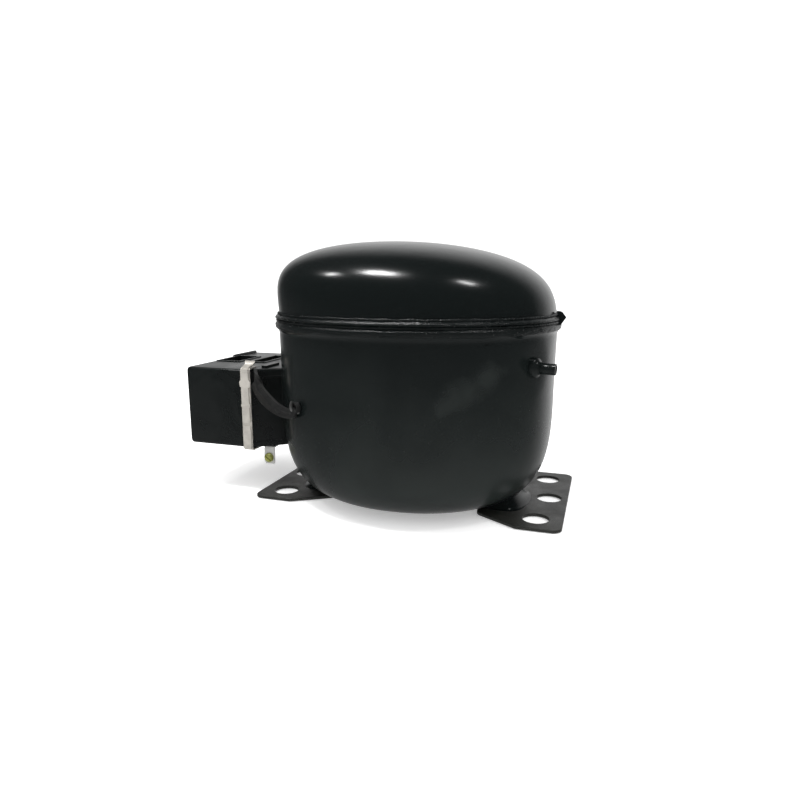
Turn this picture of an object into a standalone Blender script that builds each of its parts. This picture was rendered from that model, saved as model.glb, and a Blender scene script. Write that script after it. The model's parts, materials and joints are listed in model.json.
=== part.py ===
"""Hermetic reciprocating compressor with its terminal box, as an assembly of separate pieces.

Units are metres, +Z is up.  The origin is on the floor, under the middle of the whole assembly:
X runs from the terminal box (-X) to the tube end of the shell (+X).
Inside the welded shell a spring-hung pump unit holds an induction motor and, above it, a
Scotch-yoke pump: a vertical crankshaft drives a slider block across a yoke that carries the piston.
"""
from math import cos, pi, radians, sin

import bmesh
import bpy
from mathutils import Matrix, Vector

# ---- driving dimensions -------------------------------------------------------------------
GAP = 0.0003                    # clearance between neighbouring solids
WALL = 0.0026                   # steel wall of the shell

SHELL_X = 0.0268                # centre of the shell
SHELL_A = 0.0913                # half length of the lower shell, outside
SHELL_B = 0.0844                # half width of the lower shell, outside
SHELL_POWER = 2.1               # superellipse power of every shell section
SHELL_SIDES = 40
BELLY_Z = 0.0008                # lowest point of the lower shell
BOWL_Z = 0.0739                 # where the bowl starts below the straight side
RIM_LOW = 0.1157                # flared rim of the lower shell
RIM_TOP = 0.1235
DOME_Z = 0.1164                 # where the lid starts to close in
LID_TOP = 0.1697
DOME_LEAN = -0.0169             # the crown of the lid leans towards the terminal box

FOOT_X = 0.02825                # centre of the hole pattern
FOOT_Y = 0.0055
HOLE_DX = 0.085                 # outer holes: half spacings
HOLE_DY = 0.040
MID_HOLE_DX = 0.0895
HOLE_R = 0.008
FOOT_T = 0.002
FOOT_HALF_LENGTH = 0.1015
FOOT_HALF_WIDTH = 0.0562

BOX_X0 = -0.12975               # terminal box: outer end, seam with the base, base end
BOX_SEAM = -0.0818
BOX_Y0, BOX_Y1 = -0.0395, 0.0515
BOX_Z0 = 0.031
BOX_Z1 = 0.0855
BOX_WALL = 0.0023
PINS_Z = 0.057                  # middle of the terminal pins

CRANK_X = 0.0208                # axis of the crankshaft
CRANK_R = 0.008                 # crank radius, half the stroke
BORE_R = 0.012
AXIS_Z = 0.126                  # height of the cylinder axis
STATOR_Z0 = 0.040
STATOR_Z1 = 0.086
STATOR_HALF = 0.050
SPRING_OFFSET = 0.0375          # springs, each way from the crankshaft axis


# ---- scene and materials ------------------------------------------------------------------
for old in list(bpy.data.objects):
    bpy.data.objects.remove(old)

parts = bpy.data.collections.new("hermetic_compressor")
cutters = bpy.data.collections.new("cutters")
bpy.context.scene.collection.children.link(parts)
bpy.context.scene.collection.children.link(cutters)


def material(name, color, roughness, metallic):
    """A Principled material."""
    made = bpy.data.materials.new(name)
    made.use_nodes = True
    shader = made.node_tree.nodes["Principled BSDF"]
    shader.inputs["Base Color"].default_value = (*color, 1.0)
    shader.inputs["Roughness"].default_value = roughness
    shader.inputs["Metallic"].default_value = metallic
    made.diffuse_color = (*color, 1.0)
    return made


BLACK_PAINT = material("black_paint", (0.012, 0.013, 0.013), 0.25, 0.0)
FOOT_PAINT = material("foot_paint", (0.06, 0.058, 0.05), 0.5, 0.0)
BLACK_PLASTIC = material("black_plastic", (0.015, 0.016, 0.017), 0.45, 0.0)
RUBBER = material("rubber", (0.02, 0.019, 0.018), 0.75, 0.0)
SPRING_STEEL = material("spring_steel", (0.75, 0.72, 0.68), 0.3, 1.0)
STEEL = material("steel", (0.55, 0.55, 0.54), 0.35, 1.0)
ZINC_YELLOW = material("zinc_yellow", (0.55, 0.52, 0.12), 0.4, 1.0)
CAST_IRON = material("cast_iron", (0.18, 0.18, 0.18), 0.6, 1.0)
LAMINATION = material("lamination", (0.25, 0.25, 0.27), 0.45, 1.0)
ENAMELLED_COPPER = material("enamelled_copper", (0.45, 0.16, 0.06), 0.35, 0.6)
COPPER = material("copper", (0.72, 0.36, 0.22), 0.3, 1.0)
ALUMINIUM = material("aluminium", (0.7, 0.71, 0.72), 0.4, 1.0)
WHITE_PLASTIC = material("white_plastic", (0.75, 0.74, 0.7), 0.5, 0.0)
BROWN_PHENOLIC = material("brown_phenolic", (0.09, 0.04, 0.02), 0.5, 0.0)
SEAL_GLASS = material("seal_glass", (0.10, 0.16, 0.14), 0.1, 0.0)
WIRE_INSULATION = material("wire_insulation", (0.6, 0.1, 0.07), 0.5, 0.0)


# ---- building helpers ---------------------------------------------------------------------
def finish(name, mesh, surface, smooth=35.0):
    """Put a mesh in the collection as a named part."""
    mesh.name = name
    mesh.materials.clear()
    mesh.materials.append(surface)
    mesh.shade_smooth()
    mesh.set_sharp_from_angle(angle=radians(smooth))
    made = bpy.data.objects.new(name, mesh)
    parts.objects.link(made)
    return made


def from_bmesh(name, bm, surface):
    bmesh.ops.recalc_face_normals(bm, faces=bm.faces)
    mesh = bpy.data.meshes.new(name)
    bm.to_mesh(mesh)
    bm.free()
    return finish(name, mesh, surface)


def add_block(bm, low, high):
    """A box between two corners, added to a bmesh."""
    size = [high[i] - low[i] for i in range(3)]
    middle = [(high[i] + low[i]) / 2 for i in range(3)]
    matrix = Matrix.Translation(middle) @ Matrix.Diagonal((*size, 1.0))
    bmesh.ops.create_cube(bm, size=1.0, matrix=matrix)


def add_rod(bm, start, end, radius, sides=24, end_radius=None):
    """A round bar or cone between two points, added to a bmesh."""
    start, end = Vector(start), Vector(end)
    turn = (end - start).to_track_quat("Z", "X").to_matrix().to_4x4()
    bmesh.ops.create_cone(bm, cap_ends=True, segments=sides, radius1=radius,
                          radius2=radius if end_radius is None else end_radius,
                          depth=(end - start).length,
                          matrix=Matrix.Translation((start + end) / 2) @ turn)


def block(name, low, high, surface, bevel=0.0):
    bm = bmesh.new()
    add_block(bm, low, high)
    made = from_bmesh(name, bm, surface)
    if bevel:
        soften(made, bevel)
    return made


def rod(name, start, end, radius, surface, sides=24):
    bm = bmesh.new()
    add_rod(bm, start, end, radius, sides)
    return from_bmesh(name, bm, surface)


def soften(target, width, angle=40.0):
    """Round the sharp edges."""
    bevel = target.modifiers.new("rounded_edges", "BEVEL")
    bevel.width = width
    bevel.segments = 2
    bevel.limit_method = "ANGLE"
    bevel.angle_limit = radians(angle)


def as_cutter(target):
    """Move an object to the cutters, out of the render."""
    parts.objects.unlink(target)
    cutters.objects.link(target)
    target.hide_render = True
    target.display_type = "WIRE"
    return target


def cut(target, cutter, operation="DIFFERENCE"):
    """Cut, join or intersect a part with a cutter."""
    boolean = target.modifiers.new(operation.lower(), "BOOLEAN")
    boolean.operation = operation
    boolean.object = cutter
    return target


def join(target, *others):
    for other in others:
        cut(target, as_cutter(other), "UNION")
    return target


def hole(target, start, end, radius, sides=24):
    """Drill a round hole."""
    return cut(target, as_cutter(rod(target.name + "_hole", start, end, radius, STEEL, sides)))


def curve_part(name, curve, surface):
    """Turn a curve into a welded mesh part."""
    holder = bpy.data.objects.new(name + "_curve", curve)
    cutters.objects.link(holder)
    bpy.context.view_layer.update()
    mesh = bpy.data.meshes.new_from_object(holder.evaluated_get(bpy.context.evaluated_depsgraph_get()))
    bpy.data.objects.remove(holder)
    bm = bmesh.new()
    bm.from_mesh(mesh)
    bmesh.ops.remove_doubles(bm, verts=bm.verts, dist=1e-6)
    bmesh.ops.recalc_face_normals(bm, faces=bm.faces)
    bm.to_mesh(mesh)
    bm.free()
    return finish(name, mesh, surface)


def sheet(name, outlines, thickness, surface, place=Matrix()):
    """A flat piece: closed outlines filled between, with a thickness along its own +Z."""
    curve = bpy.data.curves.new(name, "CURVE")
    curve.dimensions = "2D"
    curve.fill_mode = "BOTH"
    curve.extrude = thickness / 2
    for outline in outlines:
        spline = curve.splines.new("POLY")
        spline.points.add(len(outline) - 1)
        for point, (x, y) in zip(spline.points, outline):
            point.co = (x, y, 0.0, 1.0)
        spline.use_cyclic_u = True
    made = curve_part(name, curve, surface)
    made.data.transform(place @ Matrix.Translation((0, 0, thickness / 2)))
    return made


def wire(name, routes, radius, surface, resolution=2):
    """Round wire or tube along one or more point lists."""
    curve = bpy.data.curves.new(name, "CURVE")
    curve.dimensions = "3D"
    curve.bevel_depth = radius
    curve.bevel_resolution = resolution
    curve.use_fill_caps = True
    for route in routes:
        spline = curve.splines.new("POLY")
        spline.points.add(len(route) - 1)
        for point, place in zip(spline.points, route):
            point.co = (*place, 1.0)
    return curve_part(name, curve, surface)


def smooth_route(points, steps):
    """Points on a smooth curve through the given ones (Catmull-Rom)."""
    points = [Vector(p) for p in points]
    padded = [2 * points[0] - points[1], *points, 2 * points[-1] - points[-2]]
    route = []
    for i in range(len(points) - 1):
        a, b, c, d = padded[i:i + 4]
        for k in range(steps):
            t = k / steps
            route.append(0.5 * (2 * b + (c - a) * t + (2 * a - 5 * b + 4 * c - d) * t ** 2
                                + (3 * b - a - 3 * c + d) * t ** 3))
    return route + [points[-1]]


def circle(x, y, radius, count=24):
    return [(x + radius * cos(2 * pi * i / count), y + radius * sin(2 * pi * i / count)) for i in range(count)]


def rounded(corners, radius, steps=4):
    """A closed outline with every corner rounded."""
    corners = [Vector(c) for c in corners]
    outline = []
    for i, corner in enumerate(corners):
        before = (corners[i - 1] - corner).normalized()
        after = (corners[(i + 1) % len(corners)] - corner).normalized()
        half = before.angle(after) / 2
        reach = radius / max(0.2, abs(sin(half) / cos(half)))
        for k in range(steps + 1):
            t = k / steps
            outline.append((corner + before * reach * (1 - t) ** 2 + after * reach * t ** 2)[:])
    return outline


def turned(name, profile, centre, axis, surface, sides=24):
    """A turned piece: profile of (radius, height) from top to bottom down its outer side."""
    mesh = bpy.data.meshes.new(name)
    bm = bmesh.new()
    points = [bm.verts.new((r, 0.0, z)) for r, z in profile]
    for a, b in zip(points, points[1:] + points[:1] if profile[-1][0] > 0 else points[1:]):
        bm.edges.new((a, b))
    bm.to_mesh(mesh)
    bm.free()
    made = finish(name, mesh, surface)
    screw = made.modifiers.new("turned", "SCREW")
    screw.steps = screw.render_steps = sides
    screw.use_merge_vertices = True
    screw.merge_threshold = 0.00001
    turn = Vector(axis).to_track_quat("Z", "Y")
    made.rotation_mode = "QUATERNION"
    made.rotation_quaternion = turn
    made.location = centre
    return made


def section(a, b, z, lean=0.0, count=SHELL_SIDES):
    """One superelliptic shell section as points."""
    points = []
    for i in range(count):
        t = 2 * pi * i / count
        x = abs(cos(t)) ** (2 / SHELL_POWER) * (1 if cos(t) >= 0 else -1)
        y = abs(sin(t)) ** (2 / SHELL_POWER) * (1 if sin(t) >= 0 else -1)
        points.append(Vector((SHELL_X + lean + a * x, b * y, z)))
    return points


def loft(name, rings, surface, cap_start=False, cap_end=False, loop=False):
    """A surface through rings that have the same number of points."""
    bm = bmesh.new()
    rows = [[bm.verts.new(p) for p in ring] for ring in rings]
    pairs = list(zip(rows, rows[1:]))
    if loop:
        pairs.append((rows[-1], rows[0]))
    for low, high in pairs:
        for i in range(len(low)):
            j = (i + 1) % len(low)
            bm.faces.new((low[i], low[j], high[j], high[i]))
    if cap_start:
        bm.faces.new(rows[0])
    if cap_end:
        bm.faces.new(rows[-1])
    return from_bmesh(name, bm, surface)


# ---- shell --------------------------------------------------------------------------------
def bowl_scale(z):
    """Scale of the lower shell's section at a height."""
    if z >= BOWL_Z:
        return 1.0 - 0.15 * max(0.0, RIM_LOW - z)
    depth = (BOWL_Z - z) / (BOWL_Z - BELLY_Z)
    return 0.994 * max(0.0, 1 - depth ** 3.22) ** (1 / 4.99)


def bowl_rings(offset):
    """Sections of the lower shell from the belly up to the rim, grown by an offset."""
    rings = []
    for angle in (88, 83, 76, 69, 61, 52, 40, 22):
        z = BOWL_Z - (BOWL_Z - BELLY_Z) * sin(radians(angle))
        scale = bowl_scale(z)
        rings.append(section(SHELL_A * scale + offset, SHELL_B * scale + offset, z - offset * sin(radians(angle)) ** 6))
    scale = bowl_scale(BOWL_Z)
    rings.append(section(SHELL_A * scale + offset, SHELL_B * scale + offset, BOWL_Z))
    return rings


def lid_rings(offset, start):
    """Sections of the lid from its edge up to the crown, grown by an offset."""
    rings = [section(SHELL_A + offset, SHELL_B + offset, z) for z in (start, DOME_Z + 0.004)]
    for angle in (20, 34, 46, 57, 66, 74, 80, 85, 88):
        rise = sin(radians(angle))
        scale = (1 - rise ** 3.79) ** (1 / 2.04)
        z = DOME_Z + (LID_TOP - DOME_Z) * rise
        rings.append(section(SHELL_A * scale + offset, SHELL_B * scale + offset, z, DOME_LEAN * rise ** 2))
    return rings


def wall_of(target, thickness=WALL):
    """Give an open surface its wall, growing inwards."""
    solidify = target.modifiers.new("wall", "SOLIDIFY")
    solidify.thickness = thickness
    solidify.offset = -1.0
    solidify.use_even_offset = True
    return target


rim = [section(SHELL_A, SHELL_B, RIM_LOW - 0.003),
       section(SHELL_A + WALL, SHELL_B + WALL, RIM_LOW),
       section(SHELL_A + WALL, SHELL_B + WALL, RIM_TOP)]
lower_shell = wall_of(loft("lower_shell", bowl_rings(0.0) + rim, BLACK_PAINT, cap_start=True))
upper_shell = wall_of(loft("upper_shell", lid_rings(-0.0005, RIM_LOW + 0.0015), BLACK_PAINT, cap_end=True))

bead_profile = [(0.0001, RIM_TOP + GAP), (WALL - 0.0002, RIM_TOP + GAP), (WALL - 0.0003, RIM_TOP + 0.0011),
                (0.0014, RIM_TOP + 0.0022), (0.0001, RIM_TOP + 0.0029)]
loft("seam_weld_bead", [section(SHELL_A + d, SHELL_B + d, z) for d, z in bead_profile], BLACK_PAINT, loop=True)

envelope = as_cutter(loft("shell_envelope", bowl_rings(0.00045) + [
    section(SHELL_A + 0.00045, SHELL_B + 0.00045, RIM_LOW - 0.003),
    section(SHELL_A + WALL + 0.0004, SHELL_B + WALL + 0.0004, RIM_LOW - GAP),
    section(SHELL_A + WALL + 0.0004, SHELL_B + WALL + 0.0004, RIM_TOP + GAP)],
    STEEL, cap_start=True, cap_end=True))
cavity = as_cutter(loft("shell_cavity", bowl_rings(-WALL - 0.0006), STEEL, cap_start=True, cap_end=True))


# ---- feet ---------------------------------------------------------------------------------
def foot(name, side):
    """A stamped plate with three holes and a tab bent up against the shell."""
    outer, inner = FOOT_HALF_LENGTH * side, 0.048 * side
    corners = [(inner, -0.040), (0.0747 * side, -FOOT_HALF_WIDTH), (outer, -FOOT_HALF_WIDTH),
               (outer, FOOT_HALF_WIDTH), (0.0747 * side, FOOT_HALF_WIDTH), (inner, 0.040)]
    holes = [circle(HOLE_DX * side, y, HOLE_R) for y in (-HOLE_DY, HOLE_DY)]
    holes.append(circle(MID_HOLE_DX * side, 0.0, HOLE_R))
    place = Matrix.Translation((FOOT_X, FOOT_Y, 0.0))
    plate = sheet(name, [rounded(corners, 0.006)] + holes, FOOT_T, FOOT_PAINT, place)
    tab_rings = []
    for i in range(13):
        t = radians(-25 + 3.5 * i) if side > 0 else radians(163 + 3.5 * i)
        ring = []
        for reach, z in ((0.0777, 0.0006), (0.0797, 0.0006), (0.0797, 0.0100), (0.0777, 0.0100)):
            ring.append(Vector((SHELL_X + reach * cos(t), FOOT_Y / 2 + 0.92 * reach * sin(t), z)))
        tab_rings.append(ring)
    tab = loft(name + "_tab", tab_rings, FOOT_PAINT, cap_start=True, cap_end=True)
    join(plate, tab)
    return cut(plate, envelope)


foot("left_foot_bracket", -1)
foot("right_foot_bracket", 1)


# ---- tubes and small pieces on the shell ----------------------------------------------------
def shell_point(angle, z, out=0.0):
    """A point on the side of the shell, at an angle seen from above, moved outwards."""
    t = radians(angle)
    scale = bowl_scale(z)
    ring_power = 2 / SHELL_POWER
    x = abs(cos(t)) ** ring_power * (1 if cos(t) >= 0 else -1)
    y = abs(sin(t)) ** ring_power * (1 if sin(t) >= 0 else -1)
    return Vector((SHELL_X + SHELL_A * scale * x, SHELL_B * scale * y, z)) + Vector((cos(t), sin(t), 0)) * out


def stub(name, angle, z, radius, reach, length, aim):
    """A short tube through the shell, open at both ends, with its brazed collar."""
    out = Vector((cos(radians(angle)), sin(radians(angle)), 0.0))
    root = shell_point(angle, z)
    aim = Vector(aim).normalized()
    bend = root + out * reach
    ends = [root - out * 0.009, root - out * 0.002, bend, bend + aim * length * 0.7, bend + aim * length]
    route = smooth_route(ends, 2)
    tube = wire(name, [route], radius, BLACK_PAINT)
    collar = rod(name + "_collar", root - out * 0.003, root + out * 0.0018, radius + 0.0024, BLACK_PAINT, 20)
    join(tube, cut(collar, envelope))
    bore = wire(name + "_bore", [[route[0] - out * 0.001, *route[1:-1], route[-1] + aim * 0.001]],
                radius - 0.0009, BLACK_PAINT)
    cut(tube, as_cutter(bore))
    hole(lower_shell, root - out * 0.008, root + out * 0.010, radius + 0.0004, 16)


stub("process_tube", -25.3, 0.0952, 0.0033, 0.006, 0.0068, (1.0, -0.12, -0.02))
stub("suction_tube", 60.0, 0.1000, 0.0040, 0.006, 0.014, (0.90, 0.22, 0.35))
stub("discharge_tube", 70.0, 0.0830, 0.0031, 0.0036, 0.012, (0.85, 0.0, 0.53))

tab_root = Vector((SHELL_X + SHELL_A + WALL + 0.0002, -0.004, 0.0))
tab_outline = [(0.0003, 0.1168), (0.0010, 0.1168), (0.0026, 0.1226), (0.0012, 0.1262), (0.0003, 0.1262)]
rim_tab = sheet("rim_tab", [tab_outline], 0.0030, BLACK_PAINT,
                Matrix.Translation(tab_root) @ Matrix.Rotation(pi / 2, 4, "X"))


# ---- terminal in the shell wall -------------------------------------------------------------
TERMINAL_X = -0.0625
OUTWARD = (-1.0, 0.0, 0.0)
PIN_PLACES = [(0.0056, PINS_Z + 0.0032), (-0.0056, PINS_Z + 0.0032), (0.0, PINS_Z - 0.0065)]
PIN_R = 0.00115
PIN_HOLE_R = 0.0015

hole(lower_shell, (TERMINAL_X - 0.008, 0, PINS_Z), (TERMINAL_X + 0.008, 0, PINS_Z), 0.0164, 32)
turned("terminal_body", [(0.0118, 0.0018), (0.0125, 0.0035), (0.0160, 0.0035), (0.0160, -0.0030),
                         (0.0118, -0.0030)], (TERMINAL_X, 0, PINS_Z), OUTWARD, STEEL, 32)
terminal_glass = rod("terminal_glass", (TERMINAL_X - 0.0016, 0, PINS_Z), (TERMINAL_X + 0.0024, 0, PINS_Z),
                     0.0114, SEAL_GLASS, 32)
for i, (pin_y, pin_z) in enumerate(PIN_PLACES):
    rod(f"terminal_pin_{i + 1}", (-0.084, pin_y, pin_z), (-0.051, pin_y, pin_z), PIN_R, STEEL, 12)


def pin_holes(target, start, end, chosen):
    """Sockets for the chosen terminal pins."""
    for index in chosen:
        y, z = PIN_PLACES[index]
        hole(target, (start, y, z), (end, y, z), PIN_HOLE_R, 12)


pin_holes(terminal_glass, TERMINAL_X - 0.006, TERMINAL_X + 0.006, (0, 1, 2))

# ---- start relay, overload protector and the box around them ----------------------------------
start_relay = block("start_relay", (-0.0940, -0.0026, 0.0420), (-0.0700, 0.0220, 0.0740), BROWN_PHENOLIC, 0.0012)
pin_holes(start_relay, -0.0855, -0.0690, (0, 2))
overload_protector = turned("overload_protector", [(0, 0.0070), (0.0105, 0.0070), (0.0128, 0.0052),
                                                   (0.0136, 0.0010), (0.0136, -0.0070), (0, -0.0070)],
                            (-0.0865, -0.0168, PINS_Z), OUTWARD, BROWN_PHENOLIC, 28)
pin_holes(overload_protector, -0.0850, -0.0780, (1,))

FENCE = 0.0174                  # half size of the sheet-metal fence round the terminal
SIDE_ON = Matrix(((0, 0, 1, 0), (1, 0, 0, 0), (0, 1, 0, 0), (0, 0, 0, 1)))     # drawn in Y and Z, thick in X


def frame_outline(near, far, low, high, radius, steps=3):
    return rounded([(near, low), (far, low), (far, high), (near, high)], radius, steps)


fence = sheet("terminal_fence", [frame_outline(-edge, edge, PINS_Z - edge, PINS_Z + edge, 0.003)
                                 for edge in (FENCE, FENCE - 0.0010)],
              0.0115, BLACK_PAINT, Matrix.Translation((-0.0695, 0, 0)) @ SIDE_ON)
cut(fence, envelope)

BASE_X1 = -0.0605               # shell end of the base
TAPER = 0.0158                  # how far each flank comes in towards the shell
LIP = 0.0004                    # sliding clearance between lip and cover
LIP_WALL = 0.0018
seam = BOX_SEAM + 0.00015
inner_y0, inner_y1 = BOX_Y0 + BOX_WALL, BOX_Y1 - BOX_WALL
inner_z0, inner_z1 = BOX_Z0 + BOX_WALL, BOX_Z1 - BOX_WALL
base_plan = [(seam, BOX_Y0), (BASE_X1, BOX_Y0 + TAPER), (BASE_X1, BOX_Y1 - TAPER), (seam, BOX_Y1)]
box_base = sheet("terminal_box_base", [base_plan], BOX_Z1 - BOX_Z0, BLACK_PLASTIC,
                 Matrix.Translation((0, 0, BOX_Z0)))
lip = block("lip", (-0.0860, inner_y0 + LIP, inner_z0 + LIP), (-0.0780, inner_y1 - LIP, inner_z1 - LIP),
            BLACK_PLASTIC)
core_y0, core_y1 = inner_y0 + LIP_WALL, inner_y1 - LIP_WALL
core_plan = [(-0.095, core_y0), (-0.0795, core_y0), (-0.0550, core_y0 + 0.0183), (-0.0550, core_y1 - 0.0183),
             (-0.0795, core_y1), (-0.095, core_y1)]
core = sheet("base_core", [core_plan], inner_z1 - inner_z0 - 2 * LIP_WALL, BLACK_PLASTIC,
             Matrix.Translation((0, 0, inner_z0 + LIP_WALL)))
join(box_base, lip)
cut(box_base, as_cutter(core))
cut(box_base, envelope)

box_cover = block("terminal_box_cover", (BOX_X0, BOX_Y0, BOX_Z0), (BOX_SEAM - 0.00015, BOX_Y1, BOX_Z1),
                  BLACK_PLASTIC, 0.0018)
cut(box_cover, as_cutter(block("cover_cavity", (BOX_X0 + BOX_WALL, inner_y0, inner_z0),
                               (BOX_SEAM + 0.01, inner_y1, inner_z1), BLACK_PLASTIC)))
CABLE_ENTRIES = [((-0.1250, -0.0060), (-0.1080, 0.0220)), ((-0.0985, -0.0050), (-0.0880, 0.0310))]
for low, high in CABLE_ENTRIES:
    cut(box_cover, as_cutter(block("cable_entry", (*low, BOX_Z1 - 0.006), (*high, BOX_Z1 + 0.002),
                                   BLACK_PLASTIC)))

join(box_cover, block("cover_rail", (-0.1286, 0.0180, BOX_Z1 - 0.0010), (-0.1266, 0.0500, BOX_Z1 + 0.0016),
                      BLACK_PLASTIC))

STRAP_X0, STRAP_X1 = -0.0854, -0.0782
STRAP_T = 0.0010
STRAP_GAP = 0.0004
HOOK_OVER = 0.0080              # how far the clip's ends reach over the top
strap_y0, strap_y1 = BOX_Y0 - STRAP_GAP, BOX_Y1 + STRAP_GAP
strap_low, strap_high = BOX_Z0 - STRAP_GAP, BOX_Z1 + STRAP_GAP
cover_strap = sheet("cover_strap", [frame_outline(strap_y0 - grow, strap_y1 + grow, strap_low - grow,
                                                  strap_high + grow, radius)
                                    for grow, radius in ((STRAP_T, 0.002), (0.0, 0.0012))],
                    STRAP_X1 - STRAP_X0, SPRING_STEEL, Matrix.Translation((STRAP_X0, 0, 0)) @ SIDE_ON)
cut(cover_strap, as_cutter(block("clip_opening", (STRAP_X0 - 0.001, BOX_Y0 + HOOK_OVER, strap_high - 0.001),
                                 (STRAP_X1 + 0.001, BOX_Y1 - HOOK_OVER, strap_high + 0.003), SPRING_STEEL)))
lap = block("strap_lap", (-0.0842, strap_y0 - 0.0018, 0.0620), (-0.0794, strap_y0 - 0.0006, 0.0850),
            SPRING_STEEL)
thumb_rings = []
for tab_y, tab_z, half_width in ((-0.0396, 0.0862, 0.0028), (-0.0355, 0.0876, 0.0033), (-0.0332, 0.0902, 0.0039)):
    thumb_rings.append([Vector((-0.0818 + half_width * sx, tab_y + dy, tab_z + dz))
                        for sx, dy, dz in ((-1, 0.0, 0.0), (1, 0.0, 0.0), (1, -0.0004, 0.0009), (-1, -0.0004, 0.0009))])
join(cover_strap, lap, loft("thumb_tab", thumb_rings, SPRING_STEEL, cap_start=True, cap_end=True))


# ---- retaining strap, hook and earth connection -----------------------------------------------
def flat_band(name, points, widths, thickness, surface, steps=3):
    """A flat moulded band along a route, its width standing up."""
    route = smooth_route(points, steps)
    rings = []
    for i, place in enumerate(route):
        along = (route[min(i + 1, len(route) - 1)] - route[max(i - 1, 0)]).normalized()
        side = along.cross(Vector((0, 0, 1))).normalized()
        up = side.cross(along).normalized()
        t = i / (len(route) - 1) * (len(widths) - 1)
        k = min(int(t), len(widths) - 2)
        half = (widths[k] + (widths[k + 1] - widths[k]) * (t - k)) / 2
        rings.append([place + side * thickness * u / 2 + up * half * v for u, v in
                      ((-0.6, -1), (0.6, -1), (1, -0.8), (1, 0.8), (0.6, 1), (-0.6, 1), (-1, 0.8), (-1, -0.8))])
    return loft(name, rings, surface, cap_start=True, cap_end=True)


band_points = [(-0.0752, -0.0372, 0.0830), (-0.0729, -0.0415, 0.0800), (-0.0698, -0.0435, 0.0730),
               (-0.0617, -0.0490, 0.0664), (-0.0492, -0.0570, 0.0642), (-0.0371, -0.0650, 0.0653),
               (-0.0283, -0.0710, 0.0690)]
flat_band("retaining_strap", band_points, [0.0070, 0.0090, 0.0095, 0.0090, 0.0070, 0.0062, 0.0055], 0.0024, RUBBER)

hook_root, hook_out = Vector((-0.0282, -0.0682, 0.0632)), Vector((-0.56, -0.83, 0.0)).normalized()
hook = wire("shell_hook", [smooth_route([hook_root + hook_out * 0.0002, hook_root + hook_out * 0.0050,
                                         hook_root + hook_out * 0.0068 + Vector((0, 0, 0.002)),
                                         hook_root + hook_out * 0.0068 + Vector((0, 0, 0.011))], 3)], 0.0011, STEEL)
cut(hook, envelope)

GROUND_X, GROUND_Y, GROUND_SCREW_Z = -0.0722, -0.0290, 0.0225
ground_tab = block("ground_tab", (GROUND_X - 0.0040, GROUND_Y - 0.0005, 0.0175),
                   (GROUND_X + 0.0040, GROUND_Y + 0.0005, BOX_Z0 - GAP), STEEL)
join(ground_tab, block("ground_foot", (GROUND_X - 0.0040, GROUND_Y + 0.0003, BOX_Z0 - GAP - 0.0010),
                       (GROUND_X + 0.0040, GROUND_Y + 0.0110, BOX_Z0 - GAP), STEEL))
hole(ground_tab, (GROUND_X, GROUND_Y - 0.004, GROUND_SCREW_Z), (GROUND_X, GROUND_Y + 0.004, GROUND_SCREW_Z), 0.0021, 16)
turned("ground_screw", [(0, 0.0024), (0.0022, 0.0024), (0.0030, 0.0016), (0.0030, 0.0), (0.0017, 0.0),
                        (0.0017, -0.0060), (0, -0.0060)],
       (GROUND_X, GROUND_Y - 0.0008, GROUND_SCREW_Z), (0, -1, 0), ZINC_YELLOW, 16)

# ---- motor --------------------------------------------------------------------------------
STATOR_BORE = 0.0288
ROTOR_R = 0.0282
SHAFT_R = 0.0090
SLOTS = 12
AXLE = Matrix.Translation((CRANK_X, 0, 0))


def polar(radius, angle):
    return (radius * cos(radians(angle)), radius * sin(radians(angle)))


slotted = []
for i in range(SLOTS):
    middle = 360 / SLOTS * i
    for radius, angle in ((STATOR_BORE, -3), (0.031, -3), (0.0325, -8.5), (0.0415, -9.5), (0.0415, 9.5),
                          (0.0325, 8.5), (0.031, 3), (STATOR_BORE, 3), (STATOR_BORE, 15)):
        slotted.append(polar(radius, middle + angle))
square = rounded([(-STATOR_HALF, -STATOR_HALF), (STATOR_HALF, -STATOR_HALF), (STATOR_HALF, STATOR_HALF),
                  (-STATOR_HALF, STATOR_HALF)], 0.007)
corners = [(x, y) for x in (-SPRING_OFFSET, SPRING_OFFSET) for y in (-SPRING_OFFSET, SPRING_OFFSET)]
sheet("stator_core", [square, slotted] + [circle(x, y, 0.0027, 12) for x, y in corners],
      STATOR_Z1 - STATOR_Z0, LAMINATION, AXLE @ Matrix.Translation((0, 0, STATOR_Z0)))


def end_turns(name, low, high):
    """The ring of winding heads at one end of the stator."""
    return turned(name, [(0.0330, high), (0.0390, high), (0.0425, high - 0.004), (0.0425, low), (0.0315, low),
                         (0.0315, high - 0.003)], (CRANK_X, 0, 0), (0, 0, 1), ENAMELLED_COPPER, 24)


slot_bars = [[polar(0.0335, 360 / SLOTS * i - 6), polar(0.0400, 360 / SLOTS * i - 6.5),
              polar(0.0400, 360 / SLOTS * i + 6.5), polar(0.0335, 360 / SLOTS * i + 6)] for i in range(SLOTS)]
winding = end_turns("stator_winding", STATOR_Z1 + GAP, 0.0980)
lower_turns = turned("lower_turns", [(0.0425, 0.0397), (0.0425, 0.0290), (0.0390, 0.0245), (0.0330, 0.0245),
                                     (0.0315, 0.0290), (0.0315, 0.0397)],
                     (CRANK_X, 0, 0), (0, 0, 1), ENAMELLED_COPPER, 24)
bars = sheet("slot_bars", slot_bars, 0.0500, ENAMELLED_COPPER, AXLE @ Matrix.Translation((0, 0, 0.0380)))
join(winding, bars, lower_turns)

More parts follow.
